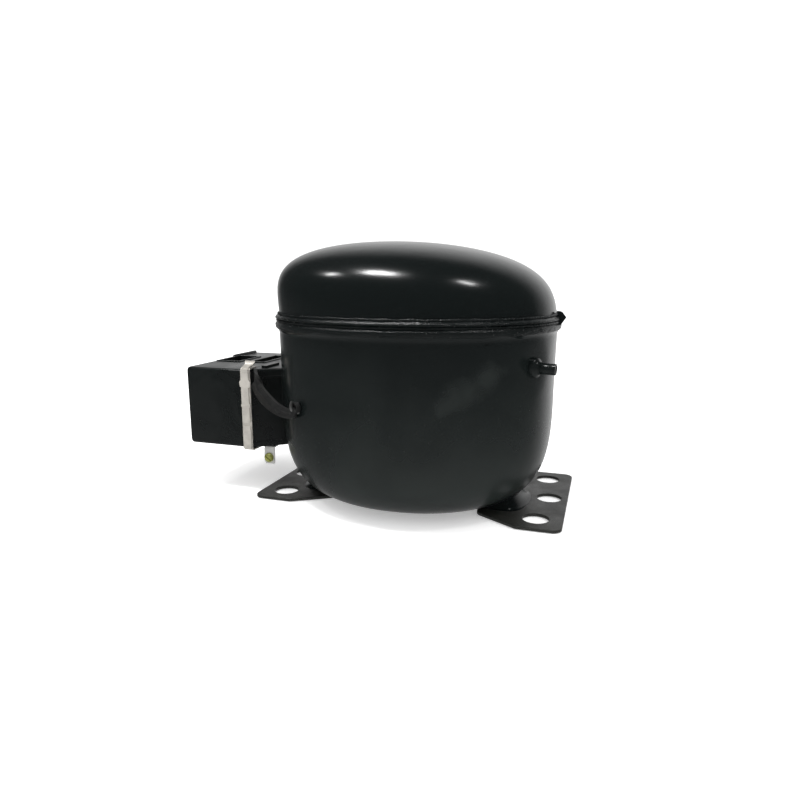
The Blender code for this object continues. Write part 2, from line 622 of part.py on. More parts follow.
rotor_core = rod("rotor_core", (CRANK_X, 0, 0.0424), (CRANK_X, 0, 0.0816), ROTOR_R, LAMINATION, 32)
hole(rotor_core, (CRANK_X, 0, 0.03), (CRANK_X, 0, 0.10), SHAFT_R + 0.0004, 24)
cage_profile = [(ROTOR_R - 0.0015, 0.0), (ROTOR_R - 0.0015, -0.0042), (0.0175, -0.0042), (0.0175, 0.0)]
rotor_cage = turned("rotor_cage", cage_profile, (CRANK_X, 0, 0.0862), (0, 0, 1), ALUMINIUM, 28)
lower_ring = turned("cage_ring", cage_profile, (CRANK_X, 0, 0.0420), (0, 0, 1), ALUMINIUM, 28)
bar_bm, slot_bm = bmesh.new(), bmesh.new()
for i in range(8):
    bar_x, bar_y = polar(0.0222, 45 * i)
    add_rod(bar_bm, (CRANK_X + bar_x, bar_y, 0.0410), (CRANK_X + bar_x, bar_y, 0.0830), 0.0022, 6)
    add_rod(slot_bm, (CRANK_X + bar_x, bar_y, 0.0400), (CRANK_X + bar_x, bar_y, 0.0840), 0.0026, 6)
join(rotor_cage, from_bmesh("cage_bars", bar_bm, ALUMINIUM), lower_ring)
cut(rotor_core, as_cutter(from_bmesh("cage_slots", slot_bm, ALUMINIUM)))

# ---- crankshaft ---------------------------------------------------------------------------
DECK_Z0, DECK_Z1 = 0.0992, 0.1060           # plate of the cylinder block
WEB_Z0, WEB_Z1 = 0.1064, 0.1120
PIN_TOP = 0.1400
CRANKPIN_R = 0.0075


def web_outline():
    """Round the counterweight opposite the pin, narrow around the pin."""
    outline = []
    for i in range(32):
        angle = 360 / 32 * i
        towards_weight = (1 - cos(radians(angle))) / 2
        outline.append(polar(0.0160 + 0.0030 * min(1.0, towards_weight * 1.6), angle))
    return outline


crankshaft = rod("crankshaft", (CRANK_X, 0, 0.0340), (CRANK_X, 0, WEB_Z0 + 0.002), SHAFT_R, CAST_IRON, 32)
web = sheet("crank_web", [web_outline()], WEB_Z1 - WEB_Z0, CAST_IRON, AXLE @ Matrix.Translation((0, 0, WEB_Z0)))
crankpin = rod("crankpin", (CRANK_X + CRANK_R, 0, WEB_Z1 - 0.002), (CRANK_X + CRANK_R, 0, PIN_TOP), CRANKPIN_R,
               CAST_IRON, 28)
join(crankshaft, web, crankpin)
oil_gallery_plug = rod("oil_gallery_plug", (CRANK_X + CRANK_R / 2, 0, PIN_TOP + GAP),
                       (CRANK_X + CRANK_R / 2, 0, PIN_TOP + 0.0020), 0.0014, STEEL, 16)
oil_pickup_tube = turned("oil_pickup_tube", [(0.0024, 0.0337), (0.0070, 0.0337), (0.0070, 0.0318), (0.0042, 0.0305),
                                             (0.0034, 0.0120), (0.0024, 0.0120)],
                         (CRANK_X, 0, 0), (0, 0, 1), STEEL, 16)

# ---- cylinder block, head and valves ------------------------------------------------------------
BARREL_X0, BARREL_X1 = CRANK_X + 0.0225, CRANK_X + 0.0560
BARREL_R = 0.0190
FACE_HALF = 0.0200              # the square face that takes the head
SCREW_OFFSET = 0.0166
deck = rounded([(-0.044, -0.044), (0.044, -0.044), (0.052, -0.020), (0.052, 0.020), (0.044, 0.044), (-0.044, 0.044)],
               0.008, 3)
cylinder_block = sheet("cylinder_block", [deck], DECK_Z1 - DECK_Z0, CAST_IRON,
                       AXLE @ Matrix.Translation((0, 0, DECK_Z0)))
block_bm = bmesh.new()
for x, y in corners:
    add_rod(block_bm, (CRANK_X + x, y, STATOR_Z1 + GAP), (CRANK_X + x, y, DECK_Z0 + 0.002), 0.0068, 16)
hub = rod("bearing_hub", (CRANK_X, 0, 0.0885), (CRANK_X, 0, DECK_Z0 + 0.002), 0.0150, CAST_IRON, 28)
pedestal = block("pedestal", (BARREL_X0, -0.0150, DECK_Z0 + 0.002), (BARREL_X1 - 0.004, 0.0150, AXIS_Z), CAST_IRON)
barrel = rod("barrel", (BARREL_X0, 0, AXIS_Z), (BARREL_X1 - 0.001, 0, AXIS_Z), BARREL_R, CAST_IRON, 32)
face = block("head_face", (BARREL_X1 - 0.0075, -FACE_HALF, AXIS_Z - FACE_HALF), (BARREL_X1, FACE_HALF,
                                                                               AXIS_Z + FACE_HALF), CAST_IRON)
join(cylinder_block, from_bmesh("block_legs", block_bm, CAST_IRON), hub, pedestal, barrel, face)
hole(cylinder_block, (CRANK_X, 0, 0.08), (CRANK_X, 0, 0.11), SHAFT_R + 0.0004, 32)
hole(cylinder_block, (BARREL_X0 - 0.002, 0, AXIS_Z), (BARREL_X1 + 0.002, 0, AXIS_Z), BORE_R, 32)
for x, y in corners:
    hole(cylinder_block, (CRANK_X + x, y, 0.080), (CRANK_X + x, y, 0.0985), 0.0027, 12)

PLATE_X0, PLATE_X1 = BARREL_X1 + GAP, BARREL_X1 + 0.0033
HEAD_X0, HEAD_X1 = PLATE_X1 + GAP, BARREL_X1 + 0.0150
REED_T = 0.0003
SUCTION_Y, DISCHARGE_Y = -0.0042, 0.0042
REED_ROOT_Z, REED_TIP_Z = AXIS_Z - 0.0082, AXIS_Z + 0.0050


def square_plate(name, x0, x1, surface, bevel=0.0):
    return block(name, (x0, -FACE_HALF, AXIS_Z - FACE_HALF), (x1, FACE_HALF, AXIS_Z + FACE_HALF), surface, bevel)


valve_plate = square_plate("valve_plate", PLATE_X0, PLATE_X1, STEEL)
cut(valve_plate, as_cutter(block("reed_recess", (PLATE_X0 - 0.001, SUCTION_Y - 0.0037, REED_ROOT_Z - 0.0006),
                                 (PLATE_X0 + 0.0008, SUCTION_Y + 0.0037, REED_TIP_Z + 0.0006), STEEL)))
for y, radius in ((SUCTION_Y, 0.0026), (DISCHARGE_Y, 0.0022)):
    hole(valve_plate, (PLATE_X0 - 0.002, y, AXIS_Z + 0.0015), (PLATE_X1 + 0.002, y, AXIS_Z + 0.0015), radius, 16)
suction_reed = block("suction_reed", (PLATE_X0 + 0.0001, SUCTION_Y - 0.0033, REED_ROOT_Z),
                     (PLATE_X0 + 0.0001 + REED_T, SUCTION_Y + 0.0033, REED_TIP_Z), SPRING_STEEL)
discharge_reed = block("discharge_reed", (PLATE_X1 + GAP, DISCHARGE_Y - 0.0030, REED_ROOT_Z),
                       (PLATE_X1 + GAP + REED_T, DISCHARGE_Y + 0.0030, REED_TIP_Z), SPRING_STEEL)
valve_stop = block("valve_stop", (PLATE_X1 + 0.0024, DISCHARGE_Y - 0.0032, REED_ROOT_Z - 0.0035),
                   (PLATE_X1 + 0.0034, DISCHARGE_Y + 0.0032, REED_TIP_Z), SPRING_STEEL)
join(valve_stop, block("stop_foot", (PLATE_X1 + GAP, DISCHARGE_Y - 0.0032, REED_ROOT_Z - 0.0035),
                       (PLATE_X1 + 0.0030, DISCHARGE_Y + 0.0032, REED_ROOT_Z - 0.0004), SPRING_STEEL))
cylinder_head = square_plate("cylinder_head", HEAD_X0, HEAD_X1, ALUMINIUM, 0.0012)
for y0, y1 in ((-0.0130, -0.0012), (0.0004, 0.0130)):
    cut(cylinder_head, as_cutter(block("head_chamber", (HEAD_X0 - 0.002, y0, AXIS_Z - 0.013),
                                       (HEAD_X1 - 0.003, y1, AXIS_Z + 0.013), ALUMINIUM)))
hole(cylinder_head, (HEAD_X0 + 0.006, -0.024, AXIS_Z), (HEAD_X0 + 0.006, -0.010, AXIS_Z), 0.0030, 16)
number = 0
for y in (-SCREW_OFFSET, SCREW_OFFSET):
    for z in (AXIS_Z - SCREW_OFFSET, AXIS_Z + SCREW_OFFSET):
        number += 1
        for target in (cylinder_block, valve_plate, cylinder_head):
            hole(target, (BARREL_X1 - 0.0055, y, z), (HEAD_X1 + 0.002, y, z), 0.0021, 12)
        turned(f"head_screw_{number}", [(0, 0.0030), (0.0030, 0.0030), (0.0034, 0.0025), (0.0034, 0.0),
                                        (0.0017, 0.0), (0.0017, -0.0200), (0, -0.0200)],
               (HEAD_X1 + GAP, y, z), (1, 0, 0), STEEL, 12)

suction_muffler = block("suction_muffler", (HEAD_X0 - 0.0140, -0.0450, AXIS_Z - 0.0140),
                        (HEAD_X0 + 0.0100, -0.0220, AXIS_Z + 0.0130), WHITE_PLASTIC, 0.0030)
join(suction_muffler, rod("muffler_outlet", (HEAD_X0 + 0.006, -0.0240, AXIS_Z), (HEAD_X0 + 0.006, -0.0204, AXIS_Z),
                          0.0040, WHITE_PLASTIC, 16),
     rod("muffler_inlet", (HEAD_X0 - 0.004, -0.0340, AXIS_Z - 0.012), (HEAD_X0 - 0.004, -0.0340, AXIS_Z - 0.022),
         0.0045, WHITE_PLASTIC, 16))
hole(suction_muffler, (HEAD_X0 - 0.004, -0.0340, AXIS_Z), (HEAD_X0 - 0.004, -0.0340, AXIS_Z - 0.024), 0.0032, 16)

# ---- piston, yoke and slider block --------------------------------------------------------------
YOKE_X = CRANK_X + CRANK_R                  # the yoke at top dead centre
YOKE_R, YOKE_BORE = 0.0134, 0.0114
PISTON_X0, PISTON_X1 = CRANK_X + 0.0316, CRANK_X + 0.0556
scotch_yoke = rod("scotch_yoke", (YOKE_X, -0.0230, AXIS_Z), (YOKE_X, 0.0230, AXIS_Z), YOKE_R, STEEL, 32)
join(scotch_yoke, rod("yoke_neck", (YOKE_X + 0.0110, 0, AXIS_Z), (PISTON_X0 + 0.0152, 0, AXIS_Z), 0.0055, STEEL, 20))
hole(scotch_yoke, (YOKE_X, -0.0240, AXIS_Z), (YOKE_X, 0.0240, AXIS_Z), YOKE_BORE, 32)
cut(scotch_yoke, as_cutter(block("pin_slot", (YOKE_X - 0.0080, -0.0164, AXIS_Z - 0.02),
                                 (YOKE_X + 0.0080, 0.0164, AXIS_Z + 0.02), STEEL)))
slider_block = rod("slider_block", (YOKE_X, -0.0110, AXIS_Z), (YOKE_X, 0.0110, AXIS_Z), YOKE_BORE - 0.0004, CAST_IRON, 32)
hole(slider_block, (YOKE_X, 0, AXIS_Z - 0.02), (YOKE_X, 0, AXIS_Z + 0.02), CRANKPIN_R + 0.0004, 28)
piston = rod("piston", (PISTON_X0, 0, AXIS_Z), (PISTON_X1, 0, AXIS_Z), BORE_R - 0.0004, CAST_IRON, 32)
hole(piston, (PISTON_X0 - 0.001, 0, AXIS_Z), (PISTON_X0 + 0.0156, 0, AXIS_Z), 0.0085, 24)
cut(piston, as_cutter(block("crown_relief", (PISTON_X1 - 0.0012, SUCTION_Y - 0.0040, REED_ROOT_Z - 0.0010),
                            (PISTON_X1 + 0.001, SUCTION_Y + 0.0040, REED_TIP_Z + 0.0010), STEEL)))

# ---- suspension -----------------------------------------------------------------------------
SPRING_R, SPRING_WIRE = 0.0057, 0.0008
SPRING_Z0, SPRING_Z1 = 0.0114, 0.0331
SPRING_TURNS = 4
for i, (x, y) in enumerate(corners):
    seat_x = CRANK_X + x
    seat = turned(f"lower_spring_seat_{i + 1}", [(0, 0.0180), (0.0030, 0.0180), (0.0042, 0.0165), (0.0042, 0.0111),
                                                 (0.0070, 0.0111), (0.0070, 0.0040), (0, 0.0040)],
                  (seat_x, y, 0), (0, 0, 1), STEEL, 14)
    cut(seat, cavity, "INTERSECT")
    turned(f"stator_bolt_{i + 1}", [(0, 0.0975), (0.0023, 0.0975), (0.0023, STATOR_Z0 - GAP), (0.0068, STATOR_Z0 - GAP),
                                    (0.0068, 0.0334), (0.0042, 0.0334), (0.0042, 0.0265), (0.0030, 0.0250),
                                    (0, 0.0250)], (seat_x, y, 0), (0, 0, 1), STEEL, 14)
    coil = []
    for k in range(SPRING_TURNS * 10 + 1):
        turn = k / 10
        height = SPRING_Z0 + SPRING_WIRE + (SPRING_Z1 - SPRING_Z0 - 2 * SPRING_WIRE) * turn / SPRING_TURNS
        coil.append((seat_x + SPRING_R * cos(2 * pi * turn), y + SPRING_R * sin(2 * pi * turn), height))
    wire(f"suspension_spring_{i + 1}", [coil], SPRING_WIRE, STEEL, 1)

# ---- inner tube and leads -----------------------------------------------------------------------
loop_points = [(0.0858, 0.0204, 0.1160), (0.0855, 0.0260, 0.1155), (0.0800, 0.0360, 0.1080), (0.0660, 0.0500, 0.0980),
               (0.0480, 0.0600, 0.0880), (0.0240, 0.0660, 0.0700), (0.0, 0.0680, 0.0450), (-0.0130, 0.0640, 0.0300),
               (-0.0080, 0.0620, 0.0210), (0.0140, 0.0655, 0.0230), (0.0360, 0.0660, 0.0380),
               (0.0480, 0.0665, 0.0580), (0.0540, 0.0680, 0.0750)]
loop_angle = radians(70.0)
loop_out = Vector((cos(loop_angle), sin(loop_angle), 0))
loop_ends = [shell_point(70.0, 0.0830) - loop_out * depth for depth in (0.0150, 0.0094)]
wire("discharge_shock_loop", [smooth_route(loop_points + loop_ends, 3)], 0.0018, COPPER)

cluster_plug = block("cluster_plug", (-0.0585, -0.0100, PINS_Z - 0.0110), (-0.0490, 0.0100, PINS_Z + 0.0080),
                     WHITE_PLASTIC, 0.0008)
pin_holes(cluster_plug, -0.0600, -0.0502, (0, 1, 2))
lead_points = [(-0.0487, 0.0, 0.0560), (-0.0440, 0.0005, 0.0550), (-0.0390, 0.0040, 0.0460),
               (-0.0350, 0.0075, 0.0360), (-0.0290, 0.0080, 0.0310), (-0.0225, 0.0080, 0.0310)]
wire("lead_harness", [smooth_route(lead_points, 3)], 0.0024, WIRE_INSULATION)


# ---- pivots: each moving group hangs on an empty at its joint -------------------------------------
def pivot(name, place, names, parent=None):
    empty = bpy.data.objects.new(name, None)
    parts.objects.link(empty)
    empty.location = place
    if parent:
        empty.parent = parent
        empty.location = Vector(place) - parent.matrix_world.translation
    bpy.context.view_layer.update()
    for child_name in names:
        child = bpy.data.objects[child_name]
        child.parent = empty
        child.matrix_parent_inverse = empty.matrix_world.inverted()
    return empty


screws = [f"head_screw_{i}" for i in (1, 2, 3, 4)]
bolts = [f"stator_bolt_{i}" for i in (1, 2, 3, 4)]
pump = pivot("pump_unit", (CRANK_X, 0, STATOR_Z0), ["cylinder_block", "stator_core", "stator_winding", "valve_plate",
                                                    "valve_stop", "cylinder_head", "suction_muffler"] + screws + bolts)
crank = pivot("crank_axis", (CRANK_X, 0, DECK_Z1), ["crankshaft", "rotor_core", "rotor_cage", "oil_pickup_tube"], pump)
plug = pivot("plug_axis", (CRANK_X + CRANK_R / 2, 0, PIN_TOP), ["oil_gallery_plug"], crank)
pivot("yoke_axis", (YOKE_X, 0, AXIS_Z), ["scotch_yoke", "piston"], plug)
pivot("crankpin_axis", (YOKE_X, 0, AXIS_Z), ["slider_block"], crank)
pivot("suction_reed_root", (PLATE_X0 + 0.0001, SUCTION_Y, REED_ROOT_Z), ["suction_reed"], pump)
pivot("discharge_reed_root", (PLATE_X1 + GAP + REED_T, DISCHARGE_Y, REED_ROOT_Z), ["discharge_reed"], pump)
pivot("cover_slide", (BOX_SEAM, 0, PINS_Z), ["terminal_box_cover"])
pivot("strap_slide", (STRAP_X1, 0, PINS_Z), ["cover_strap"])
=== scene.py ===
"""Looks of a hermetic refrigeration compressor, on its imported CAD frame. Metres, +Z up.

The pressed shell, rim weld, foot plates, terminal box, clip, straps and tubes are remade with fine
surfaces that stand for their CAD nodes. So are the springs, the shock loop and the leads, which bend
between two bodies. The other inner pieces keep their CAD shapes.
"""
import json

from math import cos, pi, radians, sin

import bmesh
import bpy
import numpy as np
from mathutils import Matrix, Vector, noise


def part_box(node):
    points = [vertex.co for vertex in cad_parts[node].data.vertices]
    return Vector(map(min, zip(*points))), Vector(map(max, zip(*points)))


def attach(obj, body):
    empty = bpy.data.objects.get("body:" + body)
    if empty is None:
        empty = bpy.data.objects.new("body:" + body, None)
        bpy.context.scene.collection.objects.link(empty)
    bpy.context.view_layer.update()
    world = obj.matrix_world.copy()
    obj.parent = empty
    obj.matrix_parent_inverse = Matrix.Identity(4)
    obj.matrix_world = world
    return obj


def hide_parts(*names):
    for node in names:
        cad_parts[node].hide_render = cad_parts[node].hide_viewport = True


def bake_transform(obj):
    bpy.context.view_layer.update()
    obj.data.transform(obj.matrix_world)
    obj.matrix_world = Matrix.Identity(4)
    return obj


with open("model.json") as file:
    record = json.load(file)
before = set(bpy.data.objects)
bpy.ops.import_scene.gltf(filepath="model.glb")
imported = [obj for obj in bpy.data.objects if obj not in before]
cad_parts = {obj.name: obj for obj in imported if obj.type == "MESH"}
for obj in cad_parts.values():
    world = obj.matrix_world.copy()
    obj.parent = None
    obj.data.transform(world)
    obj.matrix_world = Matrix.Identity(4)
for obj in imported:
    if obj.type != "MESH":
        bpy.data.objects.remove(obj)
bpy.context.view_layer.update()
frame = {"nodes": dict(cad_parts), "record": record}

# ---- driving dimensions, as in the CAD -------------------------------------------------------
WALL = 0.0026
SHELL_X, SHELL_A, SHELL_B, SHELL_POWER = 0.0268, 0.0913, 0.0844, 2.1
BELLY_Z, BOWL_Z = 0.0008, 0.0739
BOWL_WIDTH, BOWL_DROP, BOWL_ROUND = 0.994, 3.22, 4.99       # the bowl's scale and its curve's two powers
SIDE_DRAFT = 0.15                                           # how fast the side narrows below the rim
RIM_LOW, RIM_TOP = 0.1157, 0.1235
SIDE_TOP = RIM_LOW - 0.004
DOME_Z, LID_TOP, DOME_LEAN = 0.1164, 0.1697, -0.0169
DOME_DROP, DOME_ROUND = 3.79, 2.04
LID_INSET = 0.0005                                          # the lid sits this far inside the rim
FOOT_X, FOOT_Y, FOOT_T = 0.02825, 0.0055, 0.002
HOLE_DX, HOLE_DY, MID_HOLE_DX, HOLE_R = 0.085, 0.040, 0.0895, 0.008
FOOT_HALF_LENGTH, FOOT_HALF_WIDTH = 0.1015, 0.0562
BOX_X0, BOX_SEAM, BASE_X1 = -0.12975, -0.0818, -0.0605
BOX_Y0, BOX_Y1, TAPER = -0.0395, 0.0515, 0.0158
BOX_Z0, BOX_Z1, BOX_WALL = 0.031, 0.0855, 0.0023
PINS_Z, FENCE_X = 0.057, -0.0638
CLIP_X0, CLIP_X1, CLIP_T, HOOK_OVER = -0.0854, -0.0782, 0.001, 0.008
SPRING_WIRE, SPRING_COIL, SPRING_TURNS = 0.0008, 0.0057, 4
GAP = 0.0003
HOUSING, PUMP = "housing", "pump_unit"
UP = Vector((0, 0, 1))

FINE = 2           # mesh fineness


# ---- materials ------------------------------------------------------------------------------
class Surface:
    """A Principled material, with short calls for the nodes that feed it."""

    def __init__(self, name, color, roughness, metallic=0.0, **sockets):
        self.material = bpy.data.materials.new(name)
        self.material.use_nodes = True
        self.tree = self.material.node_tree
        self.shader = self.tree.nodes["Principled BSDF"]
        self.shader.inputs["Base Color"].default_value = (*color, 1.0)
        self.shader.inputs["Roughness"].default_value = roughness
        self.shader.inputs["Metallic"].default_value = metallic
        for socket, value in sockets.items():
            self.shader.inputs[socket.replace("_", " ")].default_value = value
        self.place = self.add("ShaderNodeTexCoord").outputs["Object"]
        self.height = None

    def add(self, kind, inputs=(), **settings):
        node = self.tree.nodes.new(kind)
        for key, value in settings.items():
            setattr(node, key, value)
        for socket, value in dict(inputs).items():
            if isinstance(value, bpy.types.NodeSocket):
                self.tree.links.new(value, node.inputs[socket])
            else:
                node.inputs[socket].default_value = value
        return node

    def stretched(self, scale):
        """Object coordinates scaled by (x, y, z)."""
        return self.add("ShaderNodeMapping", {"Vector": self.place, "Scale": scale}).outputs[0]

    def noise(self, scale, detail=4.0, rough=0.55, distortion=0.0, vector=None):
        settings = {"Vector": vector or self.place, "Scale": scale, "Detail": detail, "Roughness": rough,
                    "Distortion": distortion}
        return self.add("ShaderNodeTexNoise", settings).outputs["Fac"]

    def cells(self, scale):
        return self.add("ShaderNodeTexVoronoi", {"Vector": self.place, "Scale": scale}).outputs["Distance"]

    def ramp(self, factor, *stops):
        """Greys or colours at places along a factor."""
        node = self.add("ShaderNodeValToRGB", {0: factor})
        for index, (place, shade) in enumerate(stops):
            element = node.color_ramp.elements[index] if index < 2 else node.color_ramp.elements.new(place)
            element.position = place
            element.color = (*shade, 1.0) if hasattr(shade, "__len__") else (shade, shade, shade, 1.0)
        return node.outputs[0]

    def math(self, operation, a, b):
        return self.add("ShaderNodeMath", {0: a, 1: b}, operation=operation).outputs[0]

    def mix(self, factor, a, b):
        node = self.add("ShaderNodeMix", {0: factor}, data_type="RGBA")
        for socket, value in ((6, a), (7, b)):
            if isinstance(value, bpy.types.NodeSocket):
                self.tree.links.new(value, node.inputs[socket])
            else:
                node.inputs[socket].default_value = (*value, 1.0)
        return node.outputs[2]

    def drive(self, socket, value):
        self.tree.links.new(value, self.shader.inputs[socket])

    def bump(self, height, depth, strength=1.0):
        """Adds a bump on top of the earlier ones; depth is in metres."""
        settings = {"Height": height, "Distance": depth, "Strength": strength}
        if self.height:
            settings["Normal"] = self.height
        self.height = self.add("ShaderNodeBump", settings).outputs[0]
        self.drive("Normal", self.height)


# the lighter, rougher film low on the enamel fades out at this height: partly a hazy film, partly a painted
# reflection of the bright floor; the spots below mark a painted reflection, a lighter, rougher patch on the
# near side
HAZE_AND_SHEEN_TOP = 0.125
PAINTED_REFLECTION_SPOTS = ((0.0648, -0.0772, 0.0752), (0.0709, -0.0746, 0.0779), (0.0783, -0.0707, 0.0849),
         (0.0880, -0.0641, 0.0922))
PAINTED_REFLECTION_REACH, PAINTED_REFLECTION_BLEND, PAINTED_REFLECTION_WANDER = 0.020, 0.012, 0.014


def painted_reflection_distance(s):
    """How far a point is from the painted reflection patch, with a ragged edge."""
    wander = s.add("ShaderNodeTexNoise", {"Vector": s.place, "Scale": 90.0, "Detail": 4.0}).outputs["Color"]
    moved = s.add("ShaderNodeVectorMath", {0: wander, 1: (PAINTED_REFLECTION_WANDER,) * 3, 2: s.place},
                  operation="MULTIPLY_ADD").outputs[0]
    nearest = None
    for spot in PAINTED_REFLECTION_SPOTS:
        centre = [value + PAINTED_REFLECTION_WANDER / 2 for value in spot]
        reach = s.add("ShaderNodeVectorMath", {0: moved, 1: centre}, operation="DISTANCE").outputs["Value"]
        if nearest:
            reach = s.add("ShaderNodeMath", {0: nearest, 1: reach, 2: PAINTED_REFLECTION_BLEND},
                          operation="SMOOTH_MIN").outputs[0]
        nearest = reach
    return nearest


def gloss_enamel(name="gloss_black_enamel", crust=0.0, low_haze_and_sheen_share=1.0, level=0.42):
    """Thick black enamel: orange peel, press waves, dust, a lighter, rougher film low down and in soft
    patches that is partly a hazy film and partly a painted reflection of the bright floor, and a painted
    reflection patch on the near side.

    crust roughens it over welds; the share after crust is how much of the lighter low film it gets, and 0
    gives a darker copy that paints shade; level is its specular level.
    """
    s = Surface(name, (0.006, 0.0073, 0.0071), 0.22, Specular_IOR_Level=level)
    height = s.add("ShaderNodeSeparateXYZ", {0: s.place}).outputs["Z"]
    # lighter and rougher low down and in soft patches: partly a hazy film, partly a painted reflection of the
    # bright floor
    low = s.ramp(s.math("MULTIPLY", height, 1 / HAZE_AND_SHEEN_TOP), (0.12, low_haze_and_sheen_share), (0.95, 0.0))
    cloudy_haze_and_sheen = s.ramp(s.noise(17.0, 3.0, 0.5, 0.4), (0.36, 0.0), (0.64, 1.0))
    haze_and_sheen = s.math("MULTIPLY", low, s.math("ADD", s.math("MULTIPLY", cloudy_haze_and_sheen, 0.8), 0.2))
    # painted reflection: a lighter, rougher patch on the near side
    painted_reflection = s.ramp(s.math("MULTIPLY", painted_reflection_distance(s), 1 / PAINTED_REFLECTION_REACH), (0.12, 0.80), (0.58, 0.0))
    haze_and_sheen = s.math("MAXIMUM", haze_and_sheen, painted_reflection)
    dust = s.math("MULTIPLY", s.ramp(s.cells(310.0), (0.06, 1.0), (0.13, 0.0)), 0.06 + crust * 0.10)
    clean = s.mix(haze_and_sheen, (0.0034, 0.0050, 0.0050), (0.0126, 0.0162, 0.0152))
    s.drive("Base Color", s.mix(dust, clean, (0.10, 0.10, 0.09)))
    s.drive("Roughness", s.math("ADD", s.ramp(haze_and_sheen, (0.0, 0.19 + 0.05 * crust), (0.8, 0.32)),
                                s.math("MULTIPLY", dust, 0.8)))
    s.bump(s.noise(34.0, 2.0, 0.5), 0.0011, 0.25)
    s.bump(s.noise(950.0, 2.0, 0.5), 0.00005, 0.4)
    if crust:
        s.bump(s.noise(520.0, 4.0, 0.6, 0.6, vector=s.stretched((0.5, 0.5, 1.6))), 0.0007 * crust, 0.5)
    return s.material


def satin_foot_paint():
    """Thin satin paint over blasted plate, with a fine bright speckle."""
    s = Surface("satin_foot_paint", (0.024, 0.024, 0.021), 0.42, Specular_IOR_Level=0.5)
    speckle = s.ramp(s.noise(1300.0, 3.0, 0.8), (0.58, 0.0), (0.70, 1.0))
    worn = s.noise(70.0, 6.0, 0.65)
    base = s.mix(worn, (0.010, 0.0105, 0.0095), (0.030, 0.0305, 0.027))
    s.drive("Base Color", s.mix(s.math("MULTIPLY", speckle, 0.6), base, (0.13, 0.13, 0.115)))
    s.drive("Roughness", s.ramp(worn, (0.3, 0.34), (0.7, 0.52)))
    s.bump(s.noise(1300.0, 4.0, 0.6), 0.00012, 0.6)
    s.bump(s.noise(90.0, 3.0, 0.5), 0.0004, 0.25)
    return s.material


def moulded_plastic(name, dark, light, rough, grain=0.00006):
    """Injection-moulded plastic with a fine spark-eroded grain and faint flow marks."""
    s = Surface(name, dark, rough)
    flow = s.noise(38.0, 4.0, 0.6, 1.2)
    s.drive("Base Color", s.mix(s.ramp(flow, (0.35, 0.0), (0.7, 1.0)), dark, light))
    s.drive("Roughness", s.ramp(flow, (0.3, rough - 0.05), (0.7, rough + 0.07)))
    s.bump(s.noise(2600.0, 3.0, 0.6), grain, 0.28)
    return s.material


def strip_steel(name, tone, rough, metallic=1.0, along=(1.0, 1.0, 40.0)):
    """Cold-rolled strip: drawn streaks, cloudy stains and small scratches."""
    s = Surface(name, tone, rough, metallic)
    streaks = s.noise(180.0, 5.0, 0.6, vector=s.stretched(along))
    stains = s.ramp(s.noise(110.0, 5.0, 0.65, 0.6), (0.38, 0.0), (0.66, 1.0))
    dark = tuple(0.55 * v for v in tone)
    s.drive("Base Color", s.mix(stains, s.mix(streaks, dark, tone), tone))
    s.drive("Roughness", s.ramp(streaks, (0.3, rough - 0.08), (0.7, rough + 0.10)))
    s.bump(streaks, 0.00006, 0.5)
    return s.material


def plain_steel(name, tone, rough, metallic=1.0):
    """Machined or drawn steel with fine tool marks and a thin oil film."""
    s = Surface(name, tone, rough, metallic)
    film = s.noise(120.0, 5.0, 0.6, 0.5)
    s.drive("Base Color", s.mix(film, tuple(0.7 * v for v in tone), tone))
    s.drive("Roughness", s.ramp(film, (0.3, rough - 0.07), (0.7, rough + 0.08)))
    s.bump(s.noise(1800.0, 3.0, 0.6, vector=s.stretched((1.0, 1.0, 0.15))), 0.00004, 0.5)
    return s.material


def cast_surface(name, dark, light, rough, metallic, pits=0.00025):
    """Sand-cast or die-cast skin."""
    s = Surface(name, dark, rough, metallic)
    skin = s.noise(260.0, 6.0, 0.65)
    s.drive("Base Color", s.mix(skin, dark, light))
    s.drive("Roughness", s.ramp(skin, (0.3, rough - 0.1), (0.7, rough + 0.1)))
    s.bump(s.noise(700.0, 5.0, 0.65), pits, 0.6)
    return s.material


def laminations():
    """Stacked silicon steel sheets, seen as fine lines round the core."""
    s = Surface("lamination_stack", (0.16, 0.16, 0.18), 0.42, 0.9)
    waves = {"Vector": s.place, "Scale": 320.0, "Distortion": 0.4, "Detail": 2.0}
    sheets = s.add("ShaderNodeTexWave", waves, bands_direction="Z").outputs["Fac"]
    stain = s.noise(80.0, 5.0, 0.6)
    steel = s.mix(stain, (0.20, 0.19, 0.19), (0.30, 0.30, 0.33))
    s.drive("Base Color", s.mix(sheets, (0.07, 0.07, 0.085), steel))
    s.drive("Roughness", s.ramp(stain, (0.3, 0.34), (0.7, 0.52)))
    s.bump(sheets, 0.00012, 0.7)
    return s.material


def enamelled_winding():
    """Varnished copper turns laid round the stator."""
    s = Surface("enamelled_winding", (0.40, 0.12, 0.04), 0.3, 0.55)
    waves = {"Vector": s.place, "Scale": 260.0, "Distortion": 2.2, "Detail": 3.0, "Detail Scale": 1.4}
    turns = s.add("ShaderNodeTexWave", waves, wave_type="RINGS", rings_direction="Z").outputs["Fac"]
    varnish = s.noise(90.0, 4.0, 0.6)
    copper = s.mix(varnish, (0.36, 0.10, 0.03), (0.58, 0.22, 0.08))
    s.drive("Base Color", s.mix(turns, (0.11, 0.025, 0.012), copper))
    s.drive("Roughness", s.ramp(varnish, (0.3, 0.22), (0.7, 0.4)))
    s.bump(turns, 0.00025, 0.8)
    return s.material


